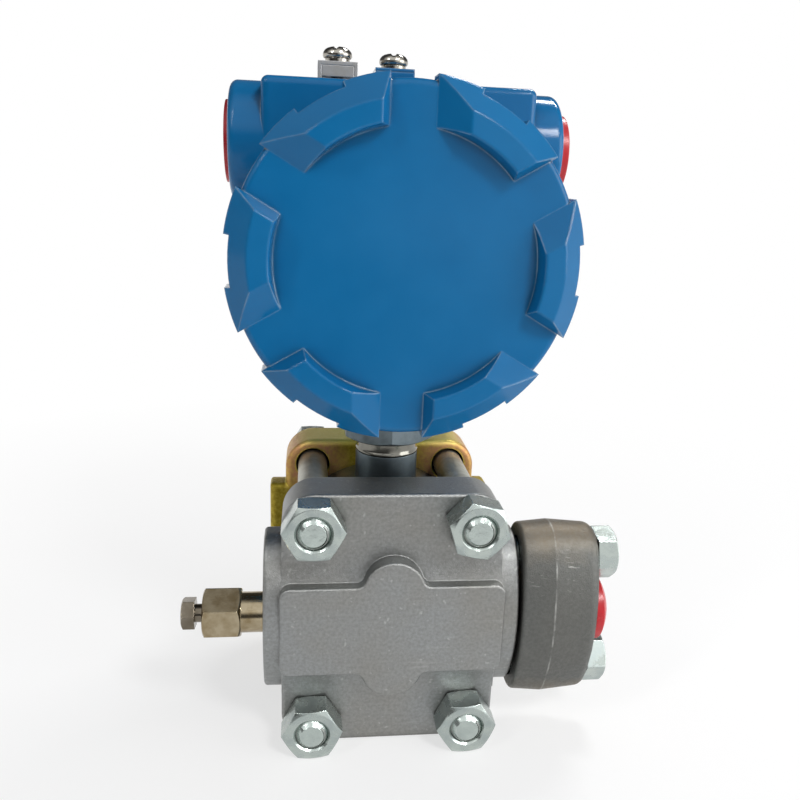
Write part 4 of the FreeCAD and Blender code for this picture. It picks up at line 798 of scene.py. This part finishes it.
def bench(mesh, name, finish, body):
    """Makes a mesh a finished piece: doubles merged, faces outward, smooth, and riding on a body."""
    bmesh.ops.remove_doubles(mesh, verts=mesh.verts, dist=SAME_POINT)
    bmesh.ops.recalc_face_normals(mesh, faces=mesh.faces)
    for face in mesh.faces:
        face.smooth = True
    data = bpy.data.meshes.new(name)
    mesh.to_mesh(data)
    mesh.free()
    data.set_sharp_from_angle(angle=SHARP_FROM)
    data.materials.append(finish)
    piece = bpy.data.objects.new(name, data)
    bpy.context.scene.collection.objects.link(piece)
    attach(piece, body)
    print(name, "has", len(data.polygons), "faces and rides on", body)
    return piece


print("ready to turn and wind about", ALONG_Y, "and", ALONG_Z)

# %% [markdown]
# Each cover screws into the housing with a fine thread, four turns of which fit on its skirt. The ridge
# stays just inside the housing's bore, so the thread shows when a cover is unscrewed and never touches the
# housing.

# %% Threads on the covers
SKIRT_RADIUS = 46.15 * MM
COVER_RIDGE = 0.2 * MM
COVER_PITCH = 2.117 * MM
COVER_TURNS = 4
CLEAR_OF_SEAL = 3.0 * MM

for side, inward in (("front", ALONG_Y), ("rear", -ALONG_Y)):
    thread = bmesh.new()
    start = middle(side + "_cover_seal") + inward * CLEAR_OF_SEAL
    wound(thread, start, inward, SKIRT_RADIUS, COVER_RIDGE, COVER_PITCH, COVER_TURNS, steps=144)
    bench(thread, side + "_cover_thread", blue_paint, side + "_cover")

# %% [markdown]
# The flange bolts come through their nuts by half a millimetre, and the first turn of thread shows there,
# cut down by the point's chamfer. The ridge is wound at full size and each corner that stands out of the
# cone is pulled back to it.

# %% Threads on the bolt ends
BOLT_RADIUS = 5.55 * MM
BOLT_POINT_RADIUS = 3.85 * MM
BOLT_PITCH = 1.814 * MM
BOLT_RIDGE = 0.3 * MM
THREAD_FROM = 0.5 * MM
THREAD_TURNS = 1.4

bolt_threads = bmesh.new()
bolt_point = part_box("flange_bolts")[0].y
for across in (-BOLT_ACROSS, BOLT_ACROSS):
    for high in (-BOLT_UP, BOLT_UP):
        point = Vector((neck_axis.x + across, bolt_point, barrel_axis.z + high))
        thread = bmesh.new()
        start = point + ALONG_Y * THREAD_FROM
        wound(thread, start, ALONG_Y, BOLT_RADIUS - BOLT_RIDGE, BOLT_RIDGE * 2, BOLT_PITCH, THREAD_TURNS)
        for vert in thread.verts:
            along = (vert.co - point).dot(ALONG_Y)
            out = vert.co - point - ALONG_Y * along
            cone = BOLT_POINT_RADIUS + max(along, 0.0) + BOLT_RIDGE
            if out.length > cone:
                vert.co -= out * (1.0 - cone / out.length)
            vert.co.y = max(vert.co.y, bolt_point)
        one = bpy.data.meshes.new("bolt_thread_turn")
        thread.to_mesh(one)
        thread.free()
        bolt_threads.from_mesh(one)
        bpy.data.meshes.remove(one)
bench(bolt_threads, "bolt_threads", thread_zinc, "base")

# %% [markdown]
# Between the neck and the lock nut a short piece of the nipple shows. It is polished, and its foot is
# rolled outward into a small lip that catches the light. The outline below is a ring: it starts and ends
# inside the nipple.

# %% Lip of the nipple
LIP_OUTLINE = [(10.7, 0.03), (11.1, 0.03), (11.3, 0.25), (11.38, 0.65), (11.3, 1.05), (11.05, 1.4),
               (10.92, 1.9), (10.9, 4.9), (10.7, 4.9), (10.7, 0.03)]
LIP_STEPS = 96

neck_top = Vector((neck_axis.x, neck_axis.y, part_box("sensor_module")[1].z))
lip = bmesh.new()
turned(lip, LIP_OUTLINE, neck_top, ALONG_Z, LIP_STEPS)
bench(lip, "nipple_lip", turned_steel, "base")

# %% [markdown]
# The two screws on top have low domed heads with a cross recess. A dome is turned first, then given more
# edges, and the points near the two arms of the cross are pushed down, most of all in the middle.

# %% Screw heads
SCREW_OUTLINE = [(0.0, -13.0), (2.0, -13.0), (2.0, 0.0), (3.9, 0.0), (4.6, 0.25), (4.88, 0.8), (4.85, 1.5),
                 (4.6, 2.2), (4.1, 2.85), (3.4, 3.3), (2.5, 3.6), (1.4, 3.8), (0.0, 3.87)]
SCREW_STEPS = 64
HEAD_HEIGHT = 3.9 * MM
DOME_FROM = 1.4 * MM
RECESS_HALF_WIDTH = 0.95 * MM
RECESS_REACH = 4.7 * MM
RECESS_DEPTH = 1.5 * MM
RECESS_STEEPNESS = 1.6

for name, turn in (("ground_screw", 0.25), ("tag_screw", 0.10)):
    seat = middle(name)
    seat.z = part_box(name)[1].z - HEAD_HEIGHT
    screw = bmesh.new()
    turned(screw, SCREW_OUTLINE, seat, ALONG_Z, SCREW_STEPS)
    bmesh.ops.remove_doubles(screw, verts=screw.verts, dist=SAME_POINT)
    dome = [edge for edge in screw.edges if min(end.co.z for end in edge.verts) > seat.z + DOME_FROM]
    bmesh.ops.subdivide_edges(screw, edges=dome, cuts=2, use_grid_fill=True)
    for vert in screw.verts:
        out = Matrix.Rotation(turn, 3, "Z") @ (vert.co - seat)
        spread = math.hypot(out.x, out.y)
        if out.z > DOME_FROM and spread < RECESS_REACH:
            arm = max(0.0, 1.0 - min(abs(out.x), abs(out.y)) / RECESS_HALF_WIDTH)
            vert.co.z -= RECESS_DEPTH * min(1.0, arm * RECESS_STEEPNESS) * (1.0 - spread / RECESS_REACH)
    piece = bench(screw, name + "_domed", nickel_plate, "housing")
    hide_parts(name)
